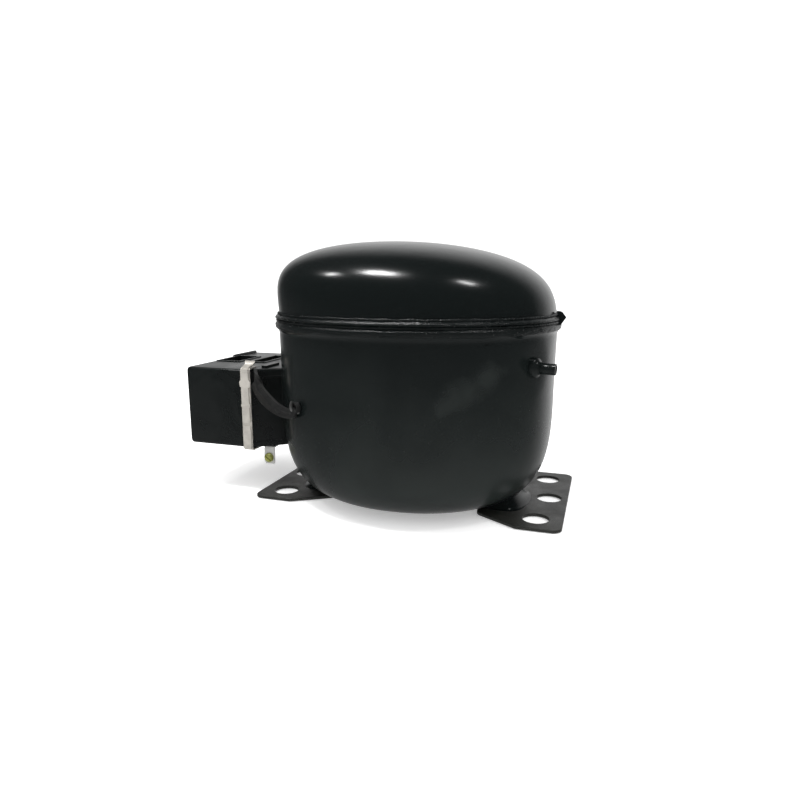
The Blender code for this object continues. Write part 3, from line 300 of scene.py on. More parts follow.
def zinc_screw():
    """Yellow-green passivated zinc."""
    s = Surface("yellow_zinc", (0.40, 0.42, 0.12), 0.34, 0.55)
    film = s.noise(600.0, 4.0, 0.6)
    s.drive("Base Color", s.mix(film, (0.20, 0.25, 0.06), (0.56, 0.55, 0.17)))
    s.drive("Roughness", s.ramp(film, (0.3, 0.26), (0.7, 0.42)))
    s.bump(s.noise(2400.0, 2.0, 0.5), 0.00004, 0.5)
    return s.material


def fused_glass():
    """Dark green fused glass with small bubbles."""
    s = Surface("fused_glass", (0.03, 0.09, 0.075), 0.12)
    bubbles = s.ramp(s.cells(900.0), (0.10, 1.0), (0.22, 0.0))
    s.drive("Base Color", s.mix(bubbles, (0.02, 0.075, 0.06), (0.12, 0.24, 0.20)))
    s.drive("Roughness", s.ramp(s.noise(200.0), (0.3, 0.08), (0.7, 0.2)))
    s.bump(bubbles, 0.00008, 0.4)
    return s.material


def rubber_band():
    """Matt moulded rubber with dust in its grain."""
    s = Surface("moulded_rubber", (0.012, 0.012, 0.012), 0.58)
    dust = s.noise(300.0, 5.0, 0.7)
    settled = s.ramp(dust, (0.45, 0.0), (0.8, 1.0))
    s.drive("Base Color", s.mix(settled, (0.0060, 0.0066, 0.0066), (0.019, 0.019, 0.018)))
    s.drive("Roughness", s.ramp(dust, (0.3, 0.50), (0.7, 0.68)))
    s.bump(s.noise(1900.0, 3.0, 0.6), 0.00007, 0.6)
    return s.material


ENAMEL = gloss_enamel()
RIM_ENAMEL = gloss_enamel("crusted_rim_enamel", 1.5)
# painted shade: a darker copy of the enamel, without the lighter low film and with a lower specular level,
# for the shaded saddles
SHADED_SADDLE_ENAMEL = gloss_enamel("shaded_saddle_enamel", 0.0, 0.0, 0.2)
FOOT_PAINT = satin_foot_paint()
BOX_PLASTIC = moulded_plastic("box_plastic", (0.0030, 0.0044, 0.0044), (0.0058, 0.0076, 0.0075), 0.29,
                              0.00002)
PHENOLIC = moulded_plastic("brown_phenolic", (0.040, 0.020, 0.012), (0.075, 0.040, 0.024), 0.45)
WHITE_PLASTIC = moulded_plastic("natural_plastic", (0.62, 0.61, 0.56), (0.74, 0.73, 0.69), 0.42)
INSULATION = moulded_plastic("lead_insulation", (0.42, 0.40, 0.34), (0.55, 0.53, 0.47), 0.4)
RUBBER = rubber_band()
CLIP_STEEL = strip_steel("clip_steel", (0.67, 0.635, 0.58), 0.42, 0.5)
SPRING_STEEL = strip_steel("spring_steel", (0.50, 0.51, 0.53), 0.28, 1.0, (1.0, 1.0, 1.0))
STEEL = plain_steel("plain_steel", (0.50, 0.50, 0.49), 0.34)
TINNED = plain_steel("tinned_steel", (0.80, 0.80, 0.77), 0.36, 0.45)
COPPER = plain_steel("drawn_copper", (0.72, 0.34, 0.19), 0.30)
CAST_IRON = cast_surface("cast_iron", (0.10, 0.10, 0.105), (0.19, 0.19, 0.19), 0.55, 0.8)
ALUMINIUM = cast_surface("die_cast_aluminium", (0.48, 0.49, 0.51), (0.66, 0.67, 0.69), 0.42, 1.0, 0.00012)
LAMINATION = laminations()
WINDING = enamelled_winding()
ZINC = zinc_screw()
GLASS = fused_glass()


# ---- mesh helpers ---------------------------------------------------------------------------
def made(name, bm, material, body=HOUSING, replaces=(), sharp=35.0):
    """A finished piece from a bmesh, riding on a body and standing for CAD nodes."""
    bmesh.ops.recalc_face_normals(bm, faces=bm.faces)
    mesh = bpy.data.meshes.new(name)
    bm.to_mesh(mesh)
    bm.free()
    piece = bpy.data.objects.new(name, mesh)
    bpy.context.scene.collection.objects.link(piece)
    mesh.materials.append(material)
    mesh.shade_smooth()
    mesh.set_sharp_from_angle(angle=radians(sharp))
    if body:
        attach(piece, body)
    if replaces:
        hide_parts(*replaces)
    return piece


def add_rows(bm, rows, caps=False, loop=False):
    """Quads through closed rows of points; loop joins the last row to the first."""
    made_rows = [[bm.verts.new(p) for p in row] for row in rows]
    pairs = list(zip(made_rows, made_rows[1:])) + ([(made_rows[-1], made_rows[0])] if loop else [])
    for low, high in pairs:
        for i in range(len(low)):
            j = (i + 1) % len(low)
            bm.faces.new((low[i], low[j], high[j], high[i]))
    if caps:
        bm.faces.new(made_rows[0])
        bm.faces.new(made_rows[-1])
    return made_rows


def add_tip(bm, row, place):
    """Closes a row of vertices with a fan to one point."""
    tip = bm.verts.new(place)
    for i in range(len(row)):
        bm.faces.new((row[i], row[(i + 1) % len(row)], tip))


def smooth_route(points, steps):
    """Points on a smooth curve through the given ones (Catmull-Rom)."""
    points = [Vector(p) for p in points]
    padded = [2 * points[0] - points[1], *points, 2 * points[-1] - points[-2]]
    route = []
    for a, b, c, d in zip(padded, padded[1:], padded[2:], padded[3:]):
        for k in range(steps):
            t = k / steps
            route.append(0.5 * (2 * b + (c - a) * t + (2 * a - 5 * b + 4 * c - d) * t * t
                                + (3 * b - a - 3 * c + d) * t ** 3))
    return route + [points[-1]]


def arc_corners(corners, radius, steps=6):
    """A closed 2D outline with rounded corners."""
    outline = []
    count = len(corners)
    for i, corner in enumerate(corners):
        corner = Vector(corner)
        before, after = Vector(corners[i - 1]), Vector(corners[(i + 1) % count])
        u, v = (before - corner).normalized(), (after - corner).normalized()
        half = u.angle(v) / 2
        reach = min(radius / np.tan(half), 0.45 * (before - corner).length, 0.45 * (after - corner).length)
        r = reach * np.tan(half)
        centre = corner + (u + v).normalized() * (r / sin(half))
        start, end = corner + u * reach - centre, corner + v * reach - centre
        turn = start.angle_signed(end)
        for k in range(steps + 1):
            angle = -turn * k / steps
            outline.append(centre + Matrix.Rotation(angle, 2) @ start)
    return outline


def sweep_rows(route, profile, up=UP):
    """Rows of points along a route; profile(t) gives (side, up) offsets at a share t of the route."""
    rows = []
    last = len(route) - 1
    for i, place in enumerate(route):
        along = (route[min(i + 1, last)] - route[max(i - 1, 0)]).normalized()
        side = along.cross(up).normalized()
        rise = side.cross(along).normalized()
        rows.append([place + side * a + rise * b for a, b in profile(i / last)])
    return rows


def sweep(bm, route, profile, up=UP):
    add_rows(bm, sweep_rows(route, profile, up), caps=True)


def ring(radius, count=24):
    return [(radius * cos(2 * pi * i / count), radius * sin(2 * pi * i / count)) for i in range(count)]


def turned(bm, profile, centre, axis, count=48):
    """Turns (radius, height) points about an axis through centre; ends on the axis close it."""
    axis = Vector(axis).normalized()
    side = axis.orthogonal().normalized()
    other = axis.cross(side)
    rows, ends = [], []
    for radius, height in profile:
        middle = Vector(centre) + axis * height
        if radius < 1e-7:
            ends.append((len(rows), middle))
            continue
        rows.append([middle + (side * cos(2 * pi * i / count) + other * sin(2 * pi * i / count)) * radius
                     for i in range(count)])
    made_rows = add_rows(bm, rows, loop=not ends)
    for index, middle in ends:
        add_tip(bm, made_rows[0] if index == 0 else made_rows[-1], middle)


def add_box(bm, low, high):
    low, high = Vector(low), Vector(high)
    place = Matrix.Translation((low + high) / 2) @ Matrix.Diagonal((*(high - low), 1.0))
    bmesh.ops.create_cube(bm, size=1.0, matrix=place)


def apply_modifiers(piece):
    """Puts the modifiers' result into the piece's own mesh."""
    graph = bpy.context.evaluated_depsgraph_get()
    mesh = bpy.data.meshes.new_from_object(piece.evaluated_get(graph))
    piece.modifiers.clear()
    piece.data = mesh
    mesh.shade_smooth()
    mesh.set_sharp_from_angle(angle=radians(35))


def rounded_edges(piece, width, segments=3, angle=30.0):
    bevel = piece.modifiers.new("edges", "BEVEL")
    bevel.width = width
    bevel.segments = segments
    bevel.limit_method = "ANGLE"
    bevel.angle_limit = radians(angle)
    bevel.harden_normals = True
    return piece


def carved(piece, cutter_bm, operation="DIFFERENCE"):
    """Cuts or joins a bmesh shape with a piece."""
    bmesh.ops.recalc_face_normals(cutter_bm, faces=cutter_bm.faces)
    mesh = bpy.data.meshes.new("tool")
    cutter_bm.to_mesh(mesh)
    cutter_bm.free()
    tool = bpy.data.objects.new("tool", mesh)
    bpy.context.scene.collection.objects.link(tool)
    boolean = piece.modifiers.new("cut", "BOOLEAN")
    boolean.operation = operation
    boolean.solver = "EXACT"
    boolean.object = tool
    apply_modifiers(piece)
    bpy.data.objects.remove(tool)
    bpy.data.meshes.remove(mesh)
    return piece


# ---- pressed shell --------------------------------------------------------------------------
def bowl_scale(z):
    """The lower shell's section at a height, as a share of its section at the rim."""
    if z >= BOWL_Z:
        return 1.0 - SIDE_DRAFT * max(0.0, RIM_LOW - z)
    depth = (BOWL_Z - z) / (BOWL_Z - BELLY_Z)
    return BOWL_WIDTH * max(0.0, 1 - depth ** BOWL_DROP) ** (1 / BOWL_ROUND)


def shell_ring(scale, grow, z, lean=0.0, count=None):
    """One superelliptic section, evenly spread by angle."""
    count = count or 128 * FINE
    a, b = SHELL_A * scale + grow, SHELL_B * scale + grow
    points = []
    for i in range(count):
        t = 2 * pi * i / count
        spread = (abs(cos(t)) / a) ** SHELL_POWER + (abs(sin(t)) / b) ** SHELL_POWER
        reach = spread ** (-1 / SHELL_POWER)
        points.append(Vector((SHELL_X + lean + reach * cos(t), reach * sin(t), z)))
    return points


def shell_point(angle, z, out=0.0):
    """A point on the side of the lower shell, at an angle seen from above."""
    t = radians(angle)
    scale = bowl_scale(z)
    x = abs(cos(t)) ** (2 / SHELL_POWER) * (1 if cos(t) >= 0 else -1)
    y = abs(sin(t)) ** (2 / SHELL_POWER) * (1 if sin(t) >= 0 else -1)
    side = Vector((SHELL_X + SHELL_A * scale * x, SHELL_B * scale * y, z))
    return side + Vector((cos(t), sin(t), 0)) * out


def bowl_profile(steps):
    """(scale, growth, height) of the lower shell's outside, from the belly to the rim's foot."""
    profile = []
    for k in range(1, steps + 1):
        drop = cos(pi / 2 * k / steps)
        z = BOWL_Z - (BOWL_Z - BELLY_Z) * sin(pi / 2 * drop ** 0.9)
        profile.append((bowl_scale(z), 0.0, z))
    for k in range(1, steps // 2 + 1):
        z = BOWL_Z + (RIM_LOW - 0.0042 - BOWL_Z) * k / (steps // 2)
        profile.append((bowl_scale(z), 0.0, z))
    return profile


# the flared rim: foot of the flare, lower lip, weld groove, upper lip
RIM_PROFILE = [(0.00005, -0.0034), (0.0003, -0.0026), (0.0009, -0.0017), (0.0016, -0.0010), (0.0022, -0.0004),
               (0.0025, 0.0003), (0.0026, 0.0010), (0.0026, 0.0018), (0.0024, 0.0023), (0.0012, 0.0035),
               (0.0010, 0.0041), (0.0012, 0.0047), (0.0023, 0.0054), (0.0026, 0.0058), (0.0026, 0.0061),
               (0.0024, 0.0065), (0.0011, 0.0077), (0.0004, 0.0078)]

TERMINAL_HOLE = 0.0164

# angle round the shell, height, radius, straight reach, length after the bend, aim
STUBS = {"process_tube": (-25.3, 0.0952, 0.0033, 0.006, 0.0068, (1.0, -0.12, -0.02)),
         "suction_tube": (60.0, 0.1000, 0.0040, 0.006, 0.014, (0.90, 0.22, 0.35)),
         "discharge_tube": (70.0, 0.0830, 0.0031, 0.0036, 0.012, (0.85, 0.0, 0.53))}


def pressed_in(point, centre, reach=0.019, depth=0.0009):
    """How far a point sinks where the shell is pressed flat round a tube."""
    share = min(1.0, (point - centre).length / reach)
    return depth * (1 - share * share) ** 2


def worked(point):
    """A point of the lower shell's outside, moved by the rim's waves or the side's dents and ripple."""
    radial = Vector((point.x - SHELL_X, point.y, 0.0))
    if point.z > RIM_LOW:
        wave = 0.00020 * noise.noise(point * 70.0) + 0.00016 * noise.noise(point * 260.0)
        return point - radial.normalized() * (0.00020 + wave)
    if point.z < SIDE_TOP and radial.length > 0.03:
        sink = sum(pressed_in(point, shell_point(angle, z)) for angle, z, *_ in STUBS.values())
        ripple = (0.00010 + 0.00020 * noise.noise(point * 38.0)) * min(1.0, (SIDE_TOP - point.z) / 0.02)
        return point - radial.normalized() * (sink + ripple)
    return point


def lower_shell():
    """The drawn bowl with its flared rim, open at the terminal."""
    profile = bowl_profile(40 * FINE)
    bm = bmesh.new()
    outside = [shell_ring(scale, grow, z) for scale, grow, z in profile]
    outside += [shell_ring(1.0, grow, RIM_LOW + up) for grow, up in RIM_PROFILE]
    outside = [[worked(point) for point in row] for row in outside]
    inside = [shell_ring(scale, grow - WALL, z + (WALL if z < 0.02 else 0.0))
              for scale, grow, z in profile[::-1][::3]]
    lip = [shell_ring(1.0, 0.0, RIM_TOP), shell_ring(1.0, -GAP, RIM_LOW + 0.001),
           shell_ring(1.0, -WALL, RIM_LOW - 0.003)]
    rows = add_rows(bm, outside + lip + inside)
    add_tip(bm, rows[0], (SHELL_X, 0.0, BELLY_Z))
    add_tip(bm, rows[-1], (SHELL_X, 0.0, BELLY_Z + WALL))
    piece = made("pressed_lower_shell", bm, ENAMEL, replaces=("lower_shell",))
    hole = bmesh.new()
    turned(hole, [(0, -0.008), (TERMINAL_HOLE, -0.008), (TERMINAL_HOLE, 0.008), (0, 0.008)],
           (FENCE_X, 0, PINS_Z), (-1, 0, 0), 64)
    carved(piece, hole)
    piece.data.materials.append(RIM_ENAMEL)
    for face in piece.data.polygons:
        face.material_index = 1 if face.center.z > RIM_LOW - 0.0012 else 0
    return piece


def upper_shell():
    """The domed lid, leaning a little towards the terminal box."""
    steps = 52 * FINE
    bm = bmesh.new()
    outside = [shell_ring(1.0, -LID_INSET, RIM_LOW + 0.0015), shell_ring(1.0, -LID_INSET, DOME_Z + 0.003)]
    inside = []
    for k in range(1, steps):
        rise = sin(pi / 2 * k / steps)
        scale = (1 - rise ** DOME_DROP) ** (1 / DOME_ROUND)
        lean = DOME_LEAN * rise ** 2
        z = DOME_Z + (LID_TOP - DOME_Z) * rise
        if z > DOME_Z + 0.0035:
            outside.append(shell_ring(scale, -LID_INSET, z, lean))
            if k % 3 == 0 and SHELL_B * scale > 0.01:
                inside.append(shell_ring(scale, -LID_INSET - WALL, z - WALL * rise ** 3, lean))
    inner_start = shell_ring(1.0, -LID_INSET - WALL, RIM_LOW + 0.0015)
    rows = add_rows(bm, [*outside[::-1], inner_start, *inside])
    add_tip(bm, rows[0], (SHELL_X + DOME_LEAN, 0.0, LID_TOP))
    add_tip(bm, rows[-1], (SHELL_X + DOME_LEAN, 0.0, LID_TOP - WALL))
    return made("pressed_lid", bm, ENAMEL, replaces=("upper_shell",))


def weld_round_rim():
    """The rippled weld that closes the seam: a bead in the rim's groove and one at the lid's foot."""
    count = 520 * FINE
    bm = bmesh.new()
    for grow, up, size, seed in ((0.0012, 0.0042, 0.00070, 3.0), (0.0001, 0.0084, 0.00085, 8.0)):
        rows = []
        for i, point in enumerate(shell_ring(1.0, 0.0, RIM_LOW, count=count)):
            out = Vector((point.x - SHELL_X, point.y, 0)).normalized()
            t = 2 * pi * i / count
            ripple = 0.16 * sin(230 * t + 2.0 * sin(7 * t))
            ripple += 0.5 * noise.noise(Vector((cos(t), sin(t), seed)) * 9.0)
            radius = size * (1.0 + ripple)
            rise = up + 0.0002 * noise.noise(Vector((cos(t), sin(t), 5)) * 14.0)
            centre = point + out * grow + UP * rise
            rows.append([centre + out * min(a * radius, WALL - grow) + UP * (b * radius)
                         for a, b in ring(1.0, 10)])
        add_rows(bm, rows, loop=True)
    return made("rim_weld", bm, RIM_ENAMEL, replaces=("seam_weld_bead",), sharp=80)


def weld_spatter():
    """A few painted-over drops of weld metal under the rim, near the process tube."""
    bm = bmesh.new()
    for angle, z, size in ((-50.6, 0.1100, 0.0007), (-49.4, 0.1106, 0.0005), (-48.2, 0.1103, 0.0006)):
        place = Matrix.Translation(shell_point(angle, z, size * 0.2))
        flat = Matrix.Diagonal((size, size, size * 0.8, 1))
        bmesh.ops.create_icosphere(bm, subdivisions=3, radius=1.0, matrix=place @ flat)
    return made("weld_spatter", bm, ENAMEL)


def rim_lug():
    """The small pointed lug at the end of the rim."""
    outline = [(0.1170, 0.1170), (0.1200, 0.1171), (0.1218, 0.1196), (0.1236, 0.1224), (0.1234, 0.1230),
               (0.1214, 0.1256), (0.1203, 0.1263), (0.1188, 0.1264), (0.1180, 0.1240)]
    bm = bmesh.new()
    rows = [[Vector((x - back, y, z)) for x, z in outline]
            for y, back in ((-0.0056, 0.0006), (-0.0052, 0.0), (-0.0044, 0.0), (-0.0040, 0.0006))]
    add_rows(bm, rows, caps=True)
    lug = made("rim_lug", bm, ENAMEL, replaces=("rim_tab",))
    return rounded_edges(lug, 0.0002, 2)


def stub_tube(name, angle, z, radius, reach, length, aim):
    """An open tube with a rolled collar and a braze fillet."""
    out = Vector((cos(radians(angle)), sin(radians(angle)), 0.0))
    root = shell_point(angle, z)
    aim = Vector(aim).normalized()
    bend = root + out * reach
    route = smooth_route([root - out * 0.009, root - out * 0.002, bend, bend + aim * length * 0.7,
                          bend + aim * length], 10)
    rows = sweep_rows(route, lambda t: ring(radius * (1.0 if t < 0.985 else 0.985), 28))
    inner = radius - 0.0009
    bore = [[middle + (p - middle).normalized() * inner for p in row] for middle, row in zip(route, rows)]
    bm = bmesh.new()
    add_rows(bm, rows + bore[::-1], loop=True)
    collar = [(radius + 0.0001, 0.0042), (radius + 0.0005, 0.0030), (radius + 0.0012, 0.0022),
              (radius + 0.0022, 0.0017), (radius + 0.0026, 0.0010), (radius + 0.0026, -0.0012),
              (radius + 0.0001, -0.0030)]
    turned(bm, collar, root, out, 40)
    return made(name + "_fine", bm, ENAMEL, replaces=(name,))


lower_shell()
upper_shell()
weld_round_rim()
weld_spatter()
rim_lug()
for stub_name, facts in STUBS.items():
    stub_tube(stub_name, *facts)


# ---- foot plates ----------------------------------------------------------------------------
def foot_plate(name, side, node):
    """A stamped plate with three holes and rounded edges."""
    inner = 0.048 * side
    outer = FOOT_HALF_LENGTH * side
    corners = [(inner, -0.040), (0.0747 * side, -FOOT_HALF_WIDTH), (outer, -FOOT_HALF_WIDTH),
               (outer, FOOT_HALF_WIDTH), (0.0747 * side, FOOT_HALF_WIDTH), (inner, 0.040)]
    bm = bmesh.new()
    outline = arc_corners(corners, 0.006, 8)
    rows = [[Vector((FOOT_X + x, FOOT_Y + y, z)) for x, y in outline] for z in (0.0, FOOT_T)]
    add_rows(bm, rows, caps=True)
    piece = made(name, bm, FOOT_PAINT, replaces=(node,))
    holes = bmesh.new()
    for x, y in ((HOLE_DX, -HOLE_DY), (HOLE_DX, HOLE_DY), (MID_HOLE_DX, 0.0)):
        turned(holes, [(0, -0.004), (HOLE_R, -0.004), (HOLE_R, 0.006), (0, 0.006)],
               (FOOT_X + x * side, FOOT_Y + y, 0), (0, 0, 1), 72)
    carved(piece, holes)
    rounded_edges(piece, 0.00045, 3)
    return piece


def foot_saddle(name, side):
    """The stamped saddle where the plate turns up against the shell, with its weld run."""
    first, last = (-28, 18) if side > 0 else (208, 162)
    bm = bmesh.new()
    rows, run = [], []
    steps = 54
    for k in range(steps + 1):
        share = k / steps
        angle = first + (last - first) * share
        fade = 1 - abs(2 * share - 1) ** 5
        top = 0.0024 + 0.0070 * fade
        t = radians(angle)
        out = Vector((cos(t), sin(t), 0))
        wall = shell_point(angle, top, -0.0004)
        spread = 0.0064 * fade + 0.0008
        row = []
        for j in range(11):
            u = j / 10
            row.append(wall + out * (spread * u) + Vector((0, 0, (top - FOOT_T) * ((1 - u) ** 2.2 - 1))))
        row.append(wall + out * spread + Vector((0, 0, FOOT_T - 0.0006 - top)))
        row.append(wall - out * 0.004 + Vector((0, 0, FOOT_T - 0.0006 - top)))
        rows.append(row)
        wobble = 0.25 * sin(k * 5.7) + 0.4 * noise.noise(Vector((k * 0.63, side, 0.5)))
        run.append((shell_point(angle, top + 0.0002, 0.0002), 0.0008 * (1 + 0.3 * wobble)))
    add_rows(bm, rows, caps=True)
    sweep(bm, [p for p, _ in run], lambda t: ring(run[round(t * (len(run) - 1))][1], 10))
    # painted shade: the saddle takes the darker copy of the enamel
    return made(name, bm, SHADED_SADDLE_ENAMEL, sharp=60)


foot_plate("left_foot_plate", -1, "left_foot_bracket")
foot_plate("right_foot_plate", 1, "right_foot_bracket")
foot_saddle("left_foot_saddle", -1)
foot_saddle("right_foot_saddle", 1)


# ---- terminal box ---------------------------------------------------------------------------
INNER_Y0, INNER_Y1 = BOX_Y0 + BOX_WALL, BOX_Y1 - BOX_WALL
INNER_Z0, INNER_Z1 = BOX_Z0 + BOX_WALL, BOX_Z1 - BOX_WALL
CABLE_ENTRIES = (((-0.1250, -0.0060), (-0.1080, 0.0220)), ((-0.0985, -0.0050), (-0.0880, 0.0310)))


def box_outline(inward, radius, steps):
    """The box's rounded outline, seen along X, with its sides drawn in."""
    y0, y1 = BOX_Y0 + inward, BOX_Y1 - inward
    return arc_corners([(y0, BOX_Z0), (y1, BOX_Z0), (y1, BOX_Z1), (y0, BOX_Z1)], radius, steps)


def box_cover():
    """The pull-off cover, with two cable entries on top."""
    bm = bmesh.new()
    middle = Vector(((BOX_Y0 + BOX_Y1) / 2, (BOX_Z0 + BOX_Z1) / 2))
    rows = []
    for x, shrink in ((BOX_X0, 0.0024), (BOX_X0 + 0.0003, 0.0013), (BOX_X0 + 0.0010, 0.0005),
                      (BOX_X0 + 0.0022, 0.0), (BOX_SEAM - GAP / 2, 0.0)):
        rows.append([Vector((x, y - shrink * np.sign(y - middle.x), z - shrink * np.sign(z - middle.y)))
                     for y, z in box_outline(0.0, 0.0022, 6)])
    add_rows(bm, rows, caps=True)
    piece = made("cover_shell", bm, BOX_PLASTIC, "box_cover", ("terminal_box_cover",))
    hollow = bmesh.new()
    add_box(hollow, (BOX_X0 + BOX_WALL, INNER_Y0, INNER_Z0), (BOX_SEAM + 0.01, INNER_Y1, INNER_Z1))
    carved(piece, hollow)
    entries = bmesh.new()
    for low, high in CABLE_ENTRIES:
        add_box(entries, (*low, BOX_Z1 - 0.006), (*high, BOX_Z1 + 0.002))
    carved(piece, entries)
    rounded_edges(piece, 0.0004, 2, 40)
    return piece


def cover_details():
    """Outer rail, cable-entry lips and ribs moulded on the cover."""
    bm = bmesh.new()
    rail_x0, rail_x1, chamfer = -0.1286, -0.1266, 0.0003
    rows = []
    for y, top in ((0.0170, 0.0), (0.0180, 0.0012), (0.0192, 0.0016), (0.0492, 0.0016), (0.0502, 0.0010)):
        rows.append([Vector((x, y, BOX_Z1 + up)) for x, up in
                     ((rail_x0, -0.001), (rail_x1, -0.001), (rail_x1, top - chamfer),
                      (rail_x1 - chamfer, top), (rail_x0 + chamfer, top), (rail_x0, top - chamfer))])
    add_rows(bm, rows, caps=True)
    lip = 0.0014
    for (x0, y0), (x1, y1) in CABLE_ENTRIES:
        for low, high in (((x0 - lip, y0 - lip), (x1 + lip, y0)), ((x0 - lip, y1), (x1 + lip, y1 + lip)),
                          ((x0 - lip, y0), (x0, y1)), ((x1, y0), (x1 + lip, y1))):
            add_box(bm, (*low, BOX_Z1 - 0.0006), (*high, BOX_Z1 + 0.0007))
    for k in range(5):
        y = -0.0240 + 0.0150 * k
        add_box(bm, (BOX_X0 + BOX_WALL - 0.0003, y - 0.0006, INNER_Z0 + 0.004),
                (BOX_X0 + BOX_WALL + 0.0011, y + 0.0006, INNER_Z1 - 0.004))
    return rounded_edges(made("cover_mouldings", bm, BOX_PLASTIC, "box_cover"), 0.00025, 2)


def box_base():
    """The tapered base between the cover and the shell, hollowed for the terminal."""
    bm = bmesh.new()
    seam = BOX_SEAM + GAP / 2
    rows = []
    for x, inward in ((seam, 0.0), (seam + 0.0006, 0.0), (BASE_X1, TAPER)):
        rows.append([Vector((x, y, z)) for y, z in box_outline(inward, 0.0018, 5)])
    add_rows(bm, rows, caps=True)
    piece = made("base_shell", bm, BOX_PLASTIC, HOUSING, ("terminal_box_base",))
    lip = bmesh.new()
    add_box(lip, (-0.0860, INNER_Y0 + 0.0004, INNER_Z0 + 0.0004),
            (-0.0780, INNER_Y1 - 0.0004, INNER_Z1 - 0.0004))
    carved(piece, lip, "UNION")
    core = bmesh.new()
    skin, taper = 0.0018, 0.0183
    y0, y1 = INNER_Y0 + skin, INNER_Y1 - skin
    plan = [(-0.095, y0), (-0.0795, y0), (-0.055, y0 + taper), (-0.055, y1 - taper), (-0.0795, y1),
            (-0.095, y1)]
    add_rows(core, [[Vector((x, y, z)) for x, y in plan] for z in (INNER_Z0 + skin, INNER_Z1 - skin)],
             caps=True)
    carved(piece, core)
    rounded_edges(piece, 0.0004, 2, 25)
    return piece


def base_details():
    """Ribs round a panel on each flank, and raised pads on the base's top."""
    bm = bmesh.new()
    along = Vector((BASE_X1 - BOX_SEAM, TAPER, 0)).normalized()
    for side, edge in ((1, BOX_Y0), (-1, BOX_Y1)):
        start = Vector((BOX_SEAM, edge, 0))
        step = Vector((along.x, along.y * side, 0))
        out = Vector((-step.y, step.x, 0)) * -side
        for near, far, low, high, tall in ((0.0035, 0.0245, BOX_Z0 + 0.003, BOX_Z0 + 0.0045, 0.0005),
                                           (0.0035, 0.0245, BOX_Z1 - 0.0065, BOX_Z1 - 0.0050, 0.0005),
                                           (0.0235, 0.0248, BOX_Z0 + 0.003, BOX_Z1 - 0.0050, 0.0006)):
            plan = [start + step * reach + out * depth for reach, depth in
                    ((near, -0.0004), (far, -0.0004), (far, tall), (near, tall))]
            add_rows(bm, [[Vector((*corner.xy, z)) for corner in plan] for z in (low, high)], caps=True)
    for y0, y1 in ((-0.0280, -0.0100), (0.0120, 0.0320)):
        add_box(bm, (-0.0765, y0, BOX_Z1 - 0.0008), (-0.0725, y1, BOX_Z1 + 0.0016))
    return rounded_edges(made("base_mouldings", bm, BOX_PLASTIC, HOUSING), 0.0002, 2)


def clip_outline(offset, radius):
    """A line round the box, open on top, at a distance from it."""
    y0, y1, z0, z1 = BOX_Y0 - offset, BOX_Y1 + offset, BOX_Z0 - offset, BOX_Z1 + offset
    bends = arc_corners([(y0, z1), (y0, z0), (y1, z0), (y1, z1)], radius, 6)
    return [Vector((BOX_Y0 + HOOK_OVER, z1)), *bends, Vector((BOX_Y1 - HOOK_OVER, z1))]


def add_strip(bm, stations, half_t=0.0005):
    """A strip on the clip's near face, through stations of (x_low, x_high, y, z)."""
    add_rows(bm, [[Vector((x0, y + half_t, z)), Vector((x1, y + half_t, z)), Vector((x1, y - half_t, z)),
                   Vector((x0, y - half_t, z))] for x0, x1, y, z in stations], caps=True)


def spring_clip():
    """The bright clip round the seam: bent strip with a lap, pressed steps and a flared thumb tab."""
    clear = 0.0004
    bm = bmesh.new()
    rows = []
    for (ya, za), (yb, zb) in zip(clip_outline(clear, 0.0012), clip_outline(clear + CLIP_T, 0.0022)):
        rows.append([Vector((CLIP_X0, ya, za)), Vector((CLIP_X1, ya, za)), Vector((CLIP_X1, yb, zb)),
                     Vector((CLIP_X0, yb, zb))])
    add_rows(bm, rows, caps=True)
    near = BOX_Y0 - clear - 0.0014
    add_strip(bm, [(-0.0838, -0.0796, near + 0.0004, 0.0490), (-0.0845, -0.0790, near, 0.0505),
                   (-0.0846, -0.0788, near, 0.0600), (-0.0852, -0.0782, near - 0.0002, 0.0606),
                   (-0.0852, -0.0782, near - 0.0002, 0.0618), (-0.0844, -0.0790, near, 0.0624),
                   (-0.0843, -0.0791, near, 0.0735), (-0.0856, -0.0776, near - 0.0002, 0.0742),
                   (-0.0858, -0.0774, near - 0.0003, 0.0775), (-0.0846, -0.0788, near - 0.0001, 0.0790),
                   (-0.0843, -0.0791, near, 0.0850), (-0.0843, -0.0791, near + 0.0004, 0.0862)])
    add_strip(bm, [(-0.0849, -0.0787, near + 0.0002, 0.0312), (-0.0849, -0.0787, near, 0.0322),
                   (-0.0849, -0.0787, near, 0.0440), (-0.0845, -0.0790, near + 0.0001, 0.0448),
                   (-0.0845, -0.0790, near + 0.0002, 0.0470)])
    tab = []
    for yy, zz, half in ((-0.0400, 0.0860, 0.0027), (-0.0385, 0.0868, 0.0028), (-0.0366, 0.0872, 0.0030),
                         (-0.0350, 0.0878, 0.0033), (-0.0338, 0.0889, 0.0037), (-0.0332, 0.0902, 0.0039)):
        tab.append([Vector((-0.0818 + half * a, yy + b, zz + c)) for a, b, c in
                    ((-1, 0, 0), (0, 0.0002, -0.0003), (1, 0, 0), (1, -0.0004, 0.0009), (0, -0.0002, 0.0006),
                     (-1, -0.0004, 0.0009))])
    add_rows(bm, tab, caps=True)
    piece = made("spring_clip", bm, CLIP_STEEL, "cover_clip", ("cover_strap",))
    return rounded_edges(piece, 0.00018, 2, 40)


